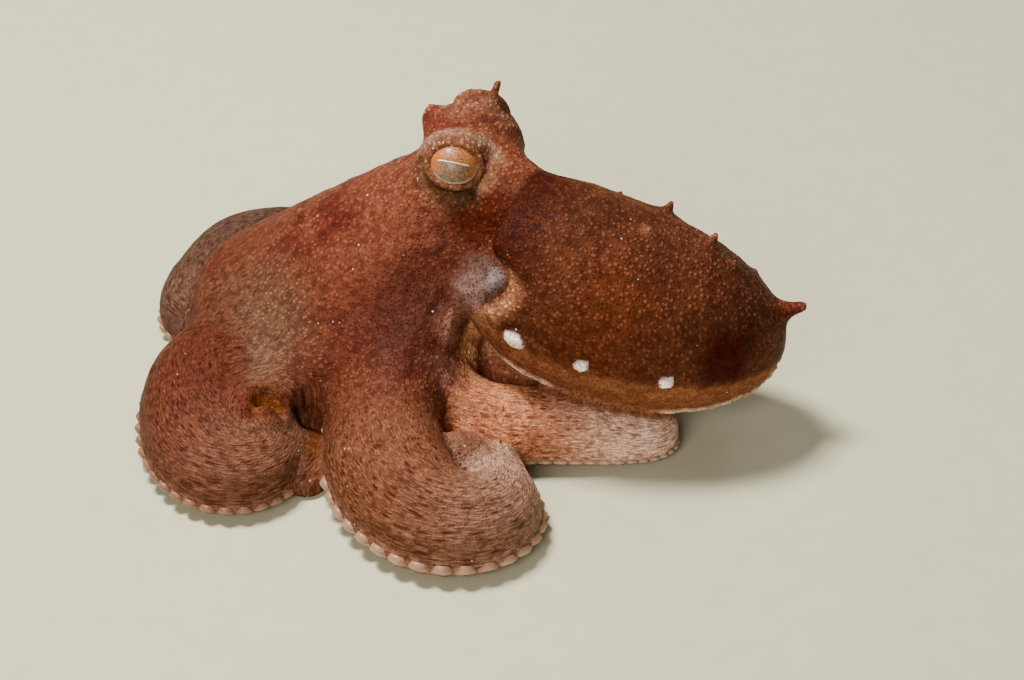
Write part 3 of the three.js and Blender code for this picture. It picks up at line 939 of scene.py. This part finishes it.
def sucker_places(arm, angle):
    """Cups spaced by their own size along the arm's edge, whose length is added up in small steps.

    The radius is size times the arm's half width times 1 - 0.85 share^4.5, so it drops at the tip.
    """
    steps = np.linspace(0, arm["length"], EDGE_STEPS)
    edge = arm_points(arm, steps, np.full(EDGE_STEPS, angle))
    run = np.concatenate([[0], np.cumsum(np.linalg.norm(np.diff(edge, axis=0), axis=1))])
    places, distance = [], arm["length"] * FIRST_SUCKER
    while distance < arm["length"] * LAST_SUCKER:
        radius = SUCKER_SIZE * arm["wide"] * (1 - 0.85 * (distance / arm["length"]) ** 4.5)
        places.append((distance, radius))
        distance = np.interp(np.interp(distance, steps, run) + SUCKER_SPACING * radius, run, steps)
    distance, radius = np.array(places).T
    centre = arm_points(arm, distance, np.full(len(distance), angle))
    ahead = arm_points(arm, distance + 0.2, np.full(len(distance), angle))
    outward = centre - arm_section(arm, distance)[0]
    outward[:, 2] = 0
    facing = unit(0.6 * unit(outward) + [0, 0, -1.0])
    return centre - 0.05 * radius[:, None] * unit(outward), unit(ahead - centre), facing, radius


centres, aheads, outs, radii = (
    np.concatenate(parts) for parts in zip(*[
        sucker_places(arm, math.radians(angle)) for arm in ARMS.values() for angle in SUCKER_ANGLES
    ])
)
print("places for suckers:", len(centres))


# %% Places that the skin leaves open
def nearest_on_skin(places):
    """The number of the skin point nearest to each place."""
    return np.array([((skin - place) ** 2).sum(1).argmin() for place in places])


gap = np.linalg.norm(skin[nearest_on_skin(centres)] - centres, axis=1)
is_open = (gap < 0.75) & (centres[:, 2] > 0.2)
centres, aheads, outs, radii = (array[is_open] for array in (centres, aheads, outs, radii))
print("suckers:", len(centres), "of", len(is_open), "places are open")

# %% Sucker cups
SUCKER_PROFILE = np.array([[0.92, -0.5], [1.03, 0.1], [0.74, 0.28], [0.4, -0.05]])


def sucker_mesh(centres, aheads, outs, radii, sides=9):
    """Rings of the profile round each cup's axis, closed at both ends; also how far up the rim."""
    across = unit(np.cross(outs, aheads))
    aheads = np.cross(across, outs)
    u = np.linspace(0, 2 * math.pi, sides, endpoint=False)
    wheel = aheads[:, None] * np.cos(u)[:, None] + across[:, None] * np.sin(u)[:, None]
    size = radii[:, None, None, None]
    out, high = SUCKER_PROFILE.T
    rings = centres[:, None, None] + size * (
        out[:, None, None] * wheel[:, None] + high[:, None, None] * outs[:, None, None]
    )
    points, faces = joined([closed_surface(cup, cup[0].mean(0), cup[-1].mean(0)) for cup in rings])
    height = np.tile(np.concatenate([np.repeat(high, sides), [high[0], high[-1]]]), len(centres))
    points[:, 2] = np.maximum(points[:, 2], 0.02)
    return points, faces, height


sucker_points, sucker_faces, sucker_height = sucker_mesh(centres, aheads, outs, radii)
print("sucker triangles:", len(sucker_faces))

# %% [markdown]
# ## Scalloped edges
# Each sucker pushes the skin above it out a little, so the edge of an arm is scalloped. The push is
# a bell curve of the distance from the sucker, and where two overlap the larger one counts.

# %% Scallops
SCALLOP_HEIGHT = 0.42
scallop = np.zeros(len(skin))
for centre, radius in zip(centres, radii):
    near = np.abs(skin - centre).max(1) < 2.4 * radius
    apart = np.linalg.norm(skin[near] - centre, axis=1)
    scallop[near] = np.maximum(scallop[near], radius * bump(apart, 0, 1.05 * radius))
skin = skin + SCALLOP_HEIGHT * scallop[:, None] * normals_of(skin, quads)
skin[:, 2] = np.maximum(skin[:, 2], 0)
print("scallops push out by", round(float(SCALLOP_HEIGHT * scallop.max()), 2), "mm")

# %% [markdown]
# ## Colours from the body plan
# The animal changes colour by opening and closing thousands of small sacs of pigment, and each
# region keeps its own mix. So colour is painted from the addresses: dark brown on the back, orange
# below the fold, red on the web, tan and streaked on the arms. The broad tones are stored on the
# skin's points. Other numbers stored there say how streaky, grainy or dotted the skin is, and the
# material draws the fine marks from them.
# Some patches below also stand in for light: painted shade in the coil and between two arms, and
# painted light under the mantle's lip.


# %% Painting helpers
def colour(red, green, blue):
    """A colour given in display values from 0 to 255, as linear light.

    Near black it is the value over 12.92, and above that ((value + 0.055) / 1.055)^2.4.
    """
    c = np.array([red, green, blue]) / 255.0
    return np.where(c <= 0.04045, c / 12.92, ((c + 0.055) / 1.055) ** 2.4)


def paint(tone, shade, mask):
    """The tone moved towards a shade where the mask is near 1."""
    return tone + np.clip(mask, 0, 1)[:, None] * (shade - tone)


def spot_mask(points, centre, size, soft=0.5):
    """1 inside a ball of that size about a place, fading to 0 over the soft share of it."""
    r = np.linalg.norm(points - np.array(centre, float), axis=1) / size
    return 1 - smoothstep(1 - soft, 1 + soft, r)


print("display grey 128 is", colour(128, 128, 128).round(3), "in linear light")

# %% Web and body tones
WEB_PATCHES_AND_PAINTED_SHADE = [
    ((108, 92, 68), (-15, -2, 8), 7.0, 0.8, 0.9),
    # partly the web's own dark red, partly painted shade low between the second and third arms
    ((78, 44, 29), (3.5, -8, 13), 6.5, 0.5, 1.0),
    ((84, 40, 20), (9, -3, 23.5), 3.4, 0.5, 1.0),
]
blotches = 0.5 + 0.5 * noise(skin, 5.0, 11) + 0.25 * noise(skin, 2.2, 12)


def all_over(shade):
    """The same shade at every point of the skin."""
    return np.tile(shade, (len(skin), 1))


tone = paint(all_over(colour(113, 67, 46)), colour(90, 51, 31), smoothstep(20, 9, skin[:, 2]))
tone = paint(tone, colour(115, 71, 50), smoothstep(15, 20, skin[:, 2]))
tone = paint(tone, colour(90, 45, 30), is_web * smoothstep(0.5, 1.0, blotches))
# an olive patch, a patch of dark red and painted shade, and a dark patch at the neck
for shade, centre, size, soft, strength in WEB_PATCHES_AND_PAINTED_SHADE:
    tone = paint(tone, colour(*shade), strength * spot_mask(skin, centre, size, soft))
print("mean tone of the web:", tone[is_web > 0.5].mean(0).round(3))

# %% [markdown]
# ## Tones of the arms
# Each arm goes from one tone to a paler one towards its tip, and its underside is a pale tan. A
# table holds the two tones of every arm. The middle of the second left arm's coil is painted duller
# and darker, as painted shade inside the curl.

# %% Arm tones
ARM_TONES = {
    "left_1": [(84, 48, 29), (114, 83, 61)],
    "left_2": [(105, 71, 48), (166, 139, 115)],
    "left_3": [(171, 119, 85), (216, 182, 160)],
    "left_4": [(130, 86, 62), (160, 118, 92)],
    "right_1": [(79, 62, 48), (92, 70, 54)],
    "right_2": [(110, 68, 48), (130, 88, 66)],
    "right_3": [(116, 72, 50), (136, 92, 70)],
    "right_4": [(124, 80, 56), (150, 108, 84)],
}
near_tones = np.array([colour(*ARM_TONES[name][0]) for name in ARMS])[on_arm]
far_tones = np.array([colour(*ARM_TONES[name][1]) for name in ARMS])[on_arm]
arm_tone = near_tones + smoothstep(0.5, 0.86, arm_share)[:, None] * (far_tones - near_tones)
near_arm = (1 - smoothstep(1.0, 2.0, arm_out)) * (1 - is_mantle)
tone = paint(tone, arm_tone, np.maximum(near_arm * smoothstep(0.12, 0.4, arm_share), in_coil))
underside = is_arm * smoothstep(-0.2, -0.85, np.sin(arm_angle)) * smoothstep(0.15, 0.35, arm_share)
tone = paint(tone, colour(186, 150, 122), underside * 0.6)
# painted shade: the middle of the coil is darkened, as if shaded by the curl round it
tone = paint(tone, colour(118, 86, 64), in_coil * (1 - smoothstep(1.0, 3.4, coil_radius)))
print("mean tone of the arms:", tone[is_arm > 0.5].mean(0).round(3))

# %% [markdown]
# ## Tones of the mantle
# The back is dark brown, darker still at its front edge, and warmer across the middle. Below the
# fold it turns orange, and paler again underneath. A dark blotch lies on each side near the tail.
# The number below_fold is 0 at the very bottom and 1 on the fold, so all of these follow the fold.

# %% Mantle tones
BOTTOM_OF_MANTLE = 270.0
BLOTCH_ANGLE = 169.0
below_fold = angle_gap(mantle_around, BOTTOM_OF_MANTLE) / (BOTTOM_OF_MANTLE - fold_line)
below_fold = np.minimum(below_fold, 2.0)
mid_back = bump(mantle_along, 0.38, 0.14) * smoothstep(110, 150, mantle_around)
mantle_tone = paint(all_over(colour(97, 62, 38)), colour(72, 44, 27), blotches - 0.2)
mantle_tone = paint(mantle_tone, colour(104, 60, 33), mid_back)
mantle_tone = paint(mantle_tone, colour(66, 30, 12), smoothstep(0.24, 0.03, mantle_along))
mantle_tone = paint(mantle_tone, colour(146, 102, 68), 1 - smoothstep(0.9, 1.04, below_fold))
mantle_tone = paint(mantle_tone, colour(178, 136, 100), 1 - smoothstep(0.3, 0.55, below_fold))
blotch_turn = np.radians(side_gap(mantle_around, BLOTCH_ANGLE))
blotch_distance = np.hypot((mantle_along - 0.76) * MANTLE_LENGTH, blotch_turn * 7.0)
blotch = 1 - smoothstep(1.2, 4.0, blotch_distance + 0.8 * noise(skin, 1.6, 21))
mantle_tone = paint(mantle_tone, colour(68, 22, 7), blotch)
lip = 1 - smoothstep(0.02, 0.08, mantle_along - lip_shift(mantle_around) / MANTLE_LENGTH)
lip_side = smoothstep(60, 75, angle_gap(mantle_around, TOP_OF_MANTLE))
mantle_tone = paint(mantle_tone, colour(170, 126, 90), lip * lip_side)
tone = paint(tone, mantle_tone, is_mantle)
print("mean tone of the mantle:", tone[is_mantle > 0.5].mean(0).round(3))

# %% [markdown]
# ## Tones of the head and round the eyes
# The top of the head is blotched in two browns. Round each eye lie rings: a golden lid, a dark
# crease under it, a dull pouch below and a pale brow above. Each ring is a bell curve of the number
# of openings out from the gaze, and the slant keeps it to the upper or the lower side.

# %% Head tones
head_tone = paint(all_over(colour(130, 86, 56)), colour(96, 48, 33), blotches)
head_tone = paint(head_tone, colour(98, 62, 42), spot_mask(skin, (11.2, 6.4, 29.2), 2.8))
tone = paint(tone, head_tone, is_head * smoothstep(25.5, 28.0, skin[:, 2]))
brow = (bump(left_out, 1.9, 0.5) + 0.3 * bump(right_out, 1.9, 0.5)) * smoothstep(-0.3, 0.5, eye_slant)
pouch = bump(eye_out, 1.5, 0.4) * smoothstep(0.4, -0.3, eye_slant)
crease = bump(eye_out, 1.38, 0.2) * smoothstep(0.2, -0.5, eye_slant)
tone = paint(tone, colour(146, 120, 96), 0.85 * brow)
tone = paint(tone, colour(104, 80, 52), 0.85 * pouch)
tone = paint(tone, colour(62, 44, 28), 0.8 * crease)
tone = paint(tone, colour(134, 100, 68), 0.9 * bump(eye_out, 1.1, 0.13))
print("mean tone of the head:", tone[is_head > 0.5].mean(0).round(3))

# %% [markdown]
# ## Small marks
# Beside the mantle's edge lies a pale grey patch, and below it the skin is tan. That tan band and
# the skin under the mantle's lip are painted much lighter than their own tone: painted light, where
# the mantle's shade falls. The white spots, the keel, the hollow, the recess under the fold and the
# papillae's tips come last, as they lie over everything else. The tones are then deepened by a power
# for each of red, green and blue, and the white marks are made brighter.

# %% Tones of the small marks
HOLLOW_PLACE, HOLLOW_SIZE = (6.4, -8.0, 13.6), 2.1
EDGE_PATCHES_AND_PAINTED_LIGHT = [
    ((160, 154, 150), (9.9, -6.9, 18.3), 1.2),
    # these four: the tan band and the skin under the mantle's lip, their own tan painted much lighter
    # as painted light in the mantle's shade
    ((136, 100, 80), HOLLOW_PLACE, HOLLOW_SIZE),
    ((130, 92, 74), (5.4, -11.2, 10.6), 2.0),
    ((185, 140, 100), (8.0, -6.5, 9.0), 2.8),
    ((160, 105, 72), (11.8, -5.0, 6.2), 2.6),
]
DEEPER = np.array([1.11, 1.18, 1.15])
outside = 1 - is_mantle
pale = spot_mask(skin, (8.6, -6.4, 17.9), 2.6, 0.35)
tone = paint(tone, colour(118, 98, 86), pale)
# painted light: the tan patches are lighter than the skin's own tone, to lift the mantle's shade
for shade, centre, size in EDGE_PATCHES_AND_PAINTED_LIGHT:
    tone = paint(tone, colour(*shade), spot_mask(skin, centre, size) * outside)
recess = spot_mask(skin, (-8.2, -13.6, 0.8), 3.0) * (1 - is_arm)
near_tips = smoothstep(1.3, 0.3, distance_to(skin, tips))
tone = paint(tone, colour(236, 232, 222), white_spot)
tone = paint(tone, colour(222, 206, 184), 0.85 * keel)
tone = paint(tone, colour(143, 92, 33), hole)
tone = paint(tone, colour(88, 55, 23), recess)
tone = paint(tone, colour(150, 104, 74), near_tips * 0.5)
whiter = (1 + 0.8 * np.maximum(white_spot, keel))[:, None]
tone = np.clip(tone, 0, 1) ** DEEPER * whiter
print("tones from", tone.min(0).round(3), "to", tone.max(0).round(3))

# %% [markdown]
# ## Which marks go where
# Arms carry streaks. The web, the head and the back carry raised grains, and the pale underside of
# the mantle carries dots. Three numbers stored on each point say how much of each it has.

# %% How streaky, grainy and dotted
hollow = spot_mask(skin, HOLLOW_PLACE, HOLLOW_SIZE) * outside
streaky = near_arm * smoothstep(0.15, 0.4, arm_share) + 0.45 * is_web * smoothstep(18, 9, skin[:, 2])
streaky = np.clip(streaky + is_web * (1 - smoothstep(4.0, 7.5, swirl_radius)) + in_coil, 0, 1)
smooth_web = 1 - 0.6 * spot_mask(skin, (1.0, -4.0, 17.0), 7.5)
grainy = np.clip(1.15 - streaky, 0, 1) * outside + is_mantle * smoothstep(0.95, 1.1, below_fold)
grainy = grainy * smooth_web * (1 - pale) * (1 - hollow)
dotted = is_mantle * (1 - smoothstep(0.95, 1.08, below_fold)) + 0.7 * pale + hollow
calm_marks = np.clip(1 - white_spot - 0.8 * keel, 0, 1) * (1 - 0.7 * blotch)
marks = np.stack([streaky, grainy, dotted], -1) * calm_marks[:, None]
print("mean marks:", marks.mean(0).round(2))


# %% [markdown]
# ## The skin as an object
# The arrays become one mesh, which takes the place of every solid but the eyes. The tone, the marks
# and the course go with it as named attributes, because a material can read those by name and they
# stay with the points wherever the object goes.


# %% Skin object with its stored numbers
def add_piece(name, points, faces, slot, *replaced):
    """A finished object made from arrays in millimetres, riding on the body."""
    thing = bpy.data.objects.new(name, make_mesh(name, points, faces, MM))
    bpy.context.scene.collection.objects.link(thing)
    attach(thing, "root")
    if replaced:
        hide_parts(*replaced)
    return thing


def store(mesh, name, kind, values):
    """An array kept on the mesh's points under a name that a material can read."""
    layer = mesh.attributes.new(name, kind, "POINT")
    field = {"FLOAT": "value", "FLOAT_VECTOR": "vector", "FLOAT_COLOR": "color"}[kind]
    if kind == "FLOAT_COLOR":
        values = np.concatenate([values, np.ones((len(values), 1))], axis=1)
    layer.data.foreach_set(field, np.ascontiguousarray(values, np.float32).ravel())


flesh = [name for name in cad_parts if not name.startswith("eye")]
skin_object = add_piece("skin", skin, quads, "arm", *flesh)
store(skin_object.data, "tone", "FLOAT_COLOR", tone)
store(skin_object.data, "marks", "FLOAT_COLOR", np.clip(marks, 0, 1))
store(skin_object.data, "course", "FLOAT_VECTOR", course)
print("skin triangles:", 2 * len(quads), "replacing", len(flesh), "nodes")

# %% [markdown]
# ## Shader maths as Python sums
# A material is a graph of nodes, and long sums are hard to read as a graph. This small class wraps a
# socket, so that an ordinary sum such as 1 - mask * 0.5 adds the Math nodes for it. A second class
# holds the material and makes every other node.


# %% The wire class
class Wire:
    """A node socket that can stand in a sum. Each operator adds one Math node."""

    def __init__(self, tree, socket):
        self.tree, self.socket = tree, socket

    def output(self, number):
        """Another output of the same node."""
        return Wire(self.tree, self.socket.node.outputs[number])

    def maths(self, operation, *others):
        """A Math node of that operation on this wire and the others."""
        return self.tree.add("ShaderNodeMath", {"operation": operation}, [self, *others])

    def __add__(self, other):
        return self.maths("ADD", other)

    __radd__ = __add__

    def __mul__(self, other):
        return self.maths("MULTIPLY", other)

    __rmul__ = __mul__

    def __sub__(self, other):
        return self.maths("SUBTRACT", other)

    def __rsub__(self, other):
        return self.tree.add("ShaderNodeMath", {"operation": "SUBTRACT"}, [other, self])

    def clipped(self, low, high):
        """0 at low and below, 1 at high and above, smooth between."""
        settings = {"interpolation_type": "SMOOTHSTEP"}
        inputs = {"Value": self, "From Min": low, "From Max": high}
        return self.tree.add("ShaderNodeMapRange", settings, inputs)


print("what a wire can do:", sorted(name for name in vars(Wire) if not name.startswith("_")))


# %% The tree class
class Tree:
    """A material's nodes."""

    def __init__(self, name):
        self.material = bpy.data.materials.new(name)
        self.material.use_nodes = True
        self.nodes = self.material.node_tree.nodes
        self.links = self.material.node_tree.links
        self.surface = self.nodes["Principled BSDF"]

    def plug(self, socket, value):
        """A link from a wire, or a plain value, into a socket."""
        if isinstance(value, Wire):
            self.links.new(value.socket, socket)
        elif np.ndim(value) == 1 and len(value) == 3 and len(socket.default_value) == 4:
            socket.default_value = (*value, 1.0)
        else:
            socket.default_value = value

    def add(self, kind, settings, inputs, output=0):
        """One node: its settings first, then its sockets by number or name, and the output wanted."""
        node = self.nodes.new(kind)
        for name, value in settings.items():
            setattr(node, name, value)
        pairs = inputs.items() if isinstance(inputs, dict) else enumerate(inputs)
        for key, value in pairs:
            self.plug(node.inputs[key], value)
        return Wire(self, node.outputs[output])

    def stored(self, name, output="Color"):
        """An array kept on the mesh."""
        return self.add("ShaderNodeAttribute", {"attribute_name": name}, {}, output)

    def place(self):
        """The point's place on the object, in metres."""
        return self.add("ShaderNodeTexCoord", {}, {}, "Object")

    def scaled(self, vector, scale):
        """A vector times a number for each axis, by a Mapping node."""
        return self.add("ShaderNodeMapping", {}, {"Vector": vector, "Scale": scale})

    def noise(self, vector, scale, detail=2.0, roughness=0.5):
        """Soft random lumps from 0 to 1, with finer ones added as the detail goes up."""
        inputs = {"Vector": vector, "Scale": scale, "Detail": detail, "Roughness": roughness}
        return self.add("ShaderNodeTexNoise", {}, inputs)

    def cells(self, vector, scale, jitter=1.0):
        """Distance from the nearest of many scattered points."""
        inputs = {"Vector": vector, "Scale": scale, "Randomness": jitter}
        return self.add("ShaderNodeTexVoronoi", {}, inputs)

    def bumped(self, height, strength, distance):
        """A Bump node, which tilts the normal as if the surface had that height, in metres."""
        inputs = {"Strength": strength, "Distance": distance, "Height": height}
        return self.add("ShaderNodeBump", {}, inputs, "Normal")

    def mixed(self, mask, one, two, blend="MIX"):
        """Colour one where the mask is 0, blended with colour two where it is 1."""
        settings = {"data_type": "RGBA", "blend_type": blend}
        return self.add("ShaderNodeMix", settings, {0: mask, 6: one, 7: two}, 2)

    def finish(self, **sockets):
        """Values or wires for the surface's own sockets."""
        for name, value in sockets.items():
            self.plug(self.surface.inputs[name.replace("_", " ")], value)
        return self.material


print("nodes in a new material:", len(Tree("trial").nodes))
bpy.data.materials.remove(bpy.data.materials["trial"])

# %% [markdown]
# ## Wet skin
# Octopus skin is moist and slightly clear. The broad tone comes from the stored colours. Over it lie
# pale raised grains, fine lines that run along the arms, dark dashes and dots of pigment, and a few
# bright pinpoints where the light catches a wet grain. The same masks drive the bump, so colour and
# relief agree.

# %% Skin material
skin_tree = Tree("octopus_skin")
place = skin_tree.place()
course_wire = skin_tree.stored("course", "Vector")
streaky_wire = skin_tree.add("ShaderNodeSeparateColor", {}, [skin_tree.stored("marks")])
grainy_wire, dotted_wire = streaky_wire.output(1), streaky_wire.output(2)
tone_wire = skin_tree.stored("tone")
dark = skin_tree.mixed(1.0, tone_wire, (0.36, 0.22, 0.18), "MULTIPLY")
light = skin_tree.mixed(1.0, tone_wire, (2.4, 2.75, 3.0), "MULTIPLY")
print("wires for the stored numbers:", len(skin_tree.nodes), "nodes")

# %% Patterns on the skin
mottle = skin_tree.noise(place, 420.0, 4.0, 0.65)
patches = skin_tree.noise(place, 1100.0, 3.0, 0.6)
fine = 1 - skin_tree.cells(place, 3300.0).clipped(0.12, 0.48)
grain_cells = skin_tree.cells(place, 1750.0, 0.85)
grain = (1 - grain_cells.clipped(0.1, 0.48)) * patches.clipped(0.25, 0.5)
lines = skin_tree.noise(skin_tree.scaled(course_wire, (1.4, 4.6, 1.0)), 1.0, 3.0, 0.65)
dash_cells = skin_tree.cells(skin_tree.scaled(course_wire, (0.62, 1.7, 1.0)), 1.0)
dashes = 1 - dash_cells.clipped(0.12, 0.36)
print("with the patterns:", len(skin_tree.nodes), "nodes")

# %% Skin colour and finish
base = skin_tree.mixed(mottle.clipped(0.42, 0.72) * 0.4, tone_wire, dark)
base = skin_tree.mixed((1 - patches.clipped(0.38, 0.58)) * 0.6, base, dark)
base = skin_tree.mixed(fine * (0.85 - streaky_wire * 0.25), base, dark)
base = skin_tree.mixed(grain * grainy_wire * 0.6, base, light)
line_mask = lines.clipped(0.46, 0.66) * streaky_wire * (0.35 + patches * 0.5)
base = skin_tree.mixed(line_mask, base, light)
base = skin_tree.mixed(dashes * (streaky_wire * 0.8 + 0.15), base, dark)
base = skin_tree.mixed(fine * dotted_wire * 0.6, base, dark)
speck = skin_tree.cells(place, 760.0)
pin = (1 - speck.clipped(0.05, 0.1)) * mottle.clipped(0.5, 0.6) * 0.7
base = skin_tree.mixed(pin, base, colour(226, 214, 204))

height = grain * grainy_wire * 0.6 + lines * streaky_wire * 0.7 + fine * 0.25 + patches * 0.5
skin_material = skin_tree.finish(
    Base_Color=base,
    Roughness=0.62 - pin * 0.3 - patches * 0.15,
    Normal=skin_tree.bumped(height, 0.6, 0.35 * MM),
    Specular_IOR_Level=0.04,
    Subsurface_Weight=0.06,
    Subsurface_Scale=0.6 * MM,
    Subsurface_Radius=(1.0, 0.35, 0.2),
)
skin_object.data.materials.append(skin_material)
print("skin material nodes:", len(skin_tree.nodes))

# %% [markdown]
# ## Sucker colour
# The rims are pale and slightly shiny, and the cups are pinkish inside. Each cup takes the tone of
# the skin it sits on, made whiter by an amount for each arm, so it doesn't stand out as a bead.

# %% Sucker tones
SUCKER_WHITENESS = np.array([0.15, 0.5, 0.75, 0.6, 0.35, 0.5, 0.5, 0.6])
suckers = add_piece("suckers", sucker_points, sucker_faces, "arm")
store(suckers.data, "rim", "FLOAT", sucker_height)
per_cup = len(sucker_points) // len(centres)
nearest = nearest_on_skin(centres)
cup_tone = paint(tone[nearest], colour(202, 180, 156), SUCKER_WHITENESS[on_arm[nearest]])
store(suckers.data, "tone", "FLOAT_COLOR", np.repeat(cup_tone, per_cup, axis=0))
print("points in a cup:", per_cup)

# %% Sucker material
sucker_tree = Tree("sucker_skin")
rim = sucker_tree.stored("rim", "Fac")
sucker_mottle = sucker_tree.noise(sucker_tree.place(), 1400.0, 3.0, 0.6)
cup_wire = sucker_tree.stored("tone")
sucker_base = sucker_tree.mixed(1.0, cup_wire, (0.66, 0.5, 0.42), "MULTIPLY")
sucker_base = sucker_tree.mixed(rim.clipped(-0.2, 0.25), sucker_base, cup_wire)
pink_mask = sucker_mottle.clipped(0.45, 0.75) * 0.5
sucker_base = sucker_tree.mixed(pink_mask, sucker_base, colour(150, 96, 72))
suckers.data.materials.append(sucker_tree.finish(
    Base_Color=sucker_base,
    Roughness=0.42 - sucker_mottle * 0.1,
    Normal=sucker_tree.bumped(sucker_mottle, 0.4, 0.2 * MM),
    Specular_IOR_Level=0.2,
    Subsurface_Weight=0.1,
    Subsurface_Scale=0.6 * MM,
))
print("sucker material nodes:", len(sucker_tree.nodes))

# %% [markdown]
# ## Eyes
# An octopus eye has a slit pupil that stays level, and here it is almost shut: a cream line across a
# golden iris. The ball is a grid of rings about the gaze. Each point stores its place across the
# eye as an attribute, so that the iris, slit and pale rim are drawn as simple distances in it.


# %% Eyeball mesh
def eyeball(frame_of_eye, rows=48, sides=72):
    """Rings about the gaze: middle + R (sin v (slit cos u + up sin u) + cos v gaze)."""
    middle, slit, up, gaze = frame_of_eye
    v = np.linspace(0, math.pi, rows + 2)[1:-1, None, None]
    u = np.linspace(0, 2 * math.pi, sides, endpoint=False)[None, :, None]
    rings = middle + EYE_RADIUS * (np.sin(v) * (slit * np.cos(u) + up * np.sin(u)) + np.cos(v) * gaze)
    points, faces = closed_surface(rings, middle + EYE_RADIUS * gaze, middle - EYE_RADIUS * gaze)
    away = (points - middle) / EYE_RADIUS
    return points, faces, np.stack([away @ slit, away @ up, away @ gaze], -1)


eyeballs = {name: eyeball(frame_of_eye) for name, frame_of_eye in EYES.items()}
print("eyeball triangles:", {name: len(faces) for name, (_, faces, _) in eyeballs.items()})

# %% Distances across the eye
eye_tree = Tree("octopus_eye")
face = eye_tree.stored("face", "Vector")
across = eye_tree.add("ShaderNodeSeparateXYZ", {}, [face])
upward = across.output(1)
eye_grain = eye_tree.noise(face, 13.0, 3.0, 0.7)
flow = eye_tree.noise(eye_tree.scaled(face, (5.0, 16.0, 5.0)), 1.0, 3.0, 0.6)
level = upward - 0.09 - flow * 0.02 + across * across * 0.06
corner = across.maths("ABSOLUTE").clipped(0.42, 0.72)
above = level.clipped(-0.03, 0.03)
ring = (across * across * 1.32 + (upward + 0.03) * (upward + 0.03) * 2.5).maths("SQRT")
low_ring = ring.clipped(0.86, 0.96) * (upward * -1.6 + across * 0.6).clipped(0.0, 0.5)
slit_width = 1 - level.maths("ABSOLUTE").clipped(0.006, 0.022)
slit_line = slit_width * (1 - (across + 0.04).maths("ABSOLUTE").clipped(0.52, 0.62))
print("eye pattern nodes:", len(eye_tree.nodes))

# %% Iris and slit
iris = eye_tree.mixed(above, colour(128, 98, 78), colour(158, 96, 48))
iris = eye_tree.mixed(eye_grain.clipped(0.44, 0.6) * 0.8, iris, colour(84, 44, 20))
iris = eye_tree.mixed(corner * 0.7, iris, colour(166, 84, 20))
iris = eye_tree.mixed(flow.clipped(0.5, 0.7) * 0.4, iris, colour(206, 148, 88))
iris = eye_tree.mixed(low_ring * 0.7, iris, colour(150, 172, 158))
iris = eye_tree.mixed(slit_line, iris, colour(248, 236, 214))
eye_material = eye_tree.finish(
    Base_Color=iris,
    Roughness=0.46 - slit_line * 0.1,
    Specular_IOR_Level=0.3,
    Normal=eye_tree.bumped(eye_grain + slit_line, 0.3, 0.1 * MM),
    Coat_Weight=0.15,
    Coat_Roughness=0.06,
    Subsurface_Weight=0.1,
    Subsurface_Scale=0.5 * MM,
)
for name, (points, faces, across_face) in eyeballs.items():
    side = name.split("_")[1]
    eye = add_piece("eyeball_" + side, points, faces, "eye", name)
    store(eye.data, "face", "FLOAT_VECTOR", across_face)
    eye.data.materials.append(eye_material)
print("eyes:", list(eyeballs), "with", len(eye_tree.nodes), "nodes in their material")

# %% [markdown]
# ## The floor
# The stage is one plain pale sheet with a trace of grain, so that the animal's shadow shows on it.

# %% Floor
corners = np.array([[-900, -900, 0], [900, -900, 0], [900, 900, 0], [-900, 900, 0]], float)
floor = bpy.data.objects.new("floor", make_mesh("floor", corners, np.array([[0, 1, 2, 3]]), MM))
bpy.context.scene.collection.objects.link(floor)
floor_tree = Tree("pale_floor")
floor_grain = floor_tree.noise(floor_tree.place(), 300.0, 3.0, 0.5)
floor.data.materials.append(floor_tree.finish(
    Base_Color=floor_tree.mixed(floor_grain, colour(188, 185, 155), colour(178, 174, 144)),
    Roughness=0.85,
))
print("floor is", corners[1, 0] - corners[0, 0], "mm wide")
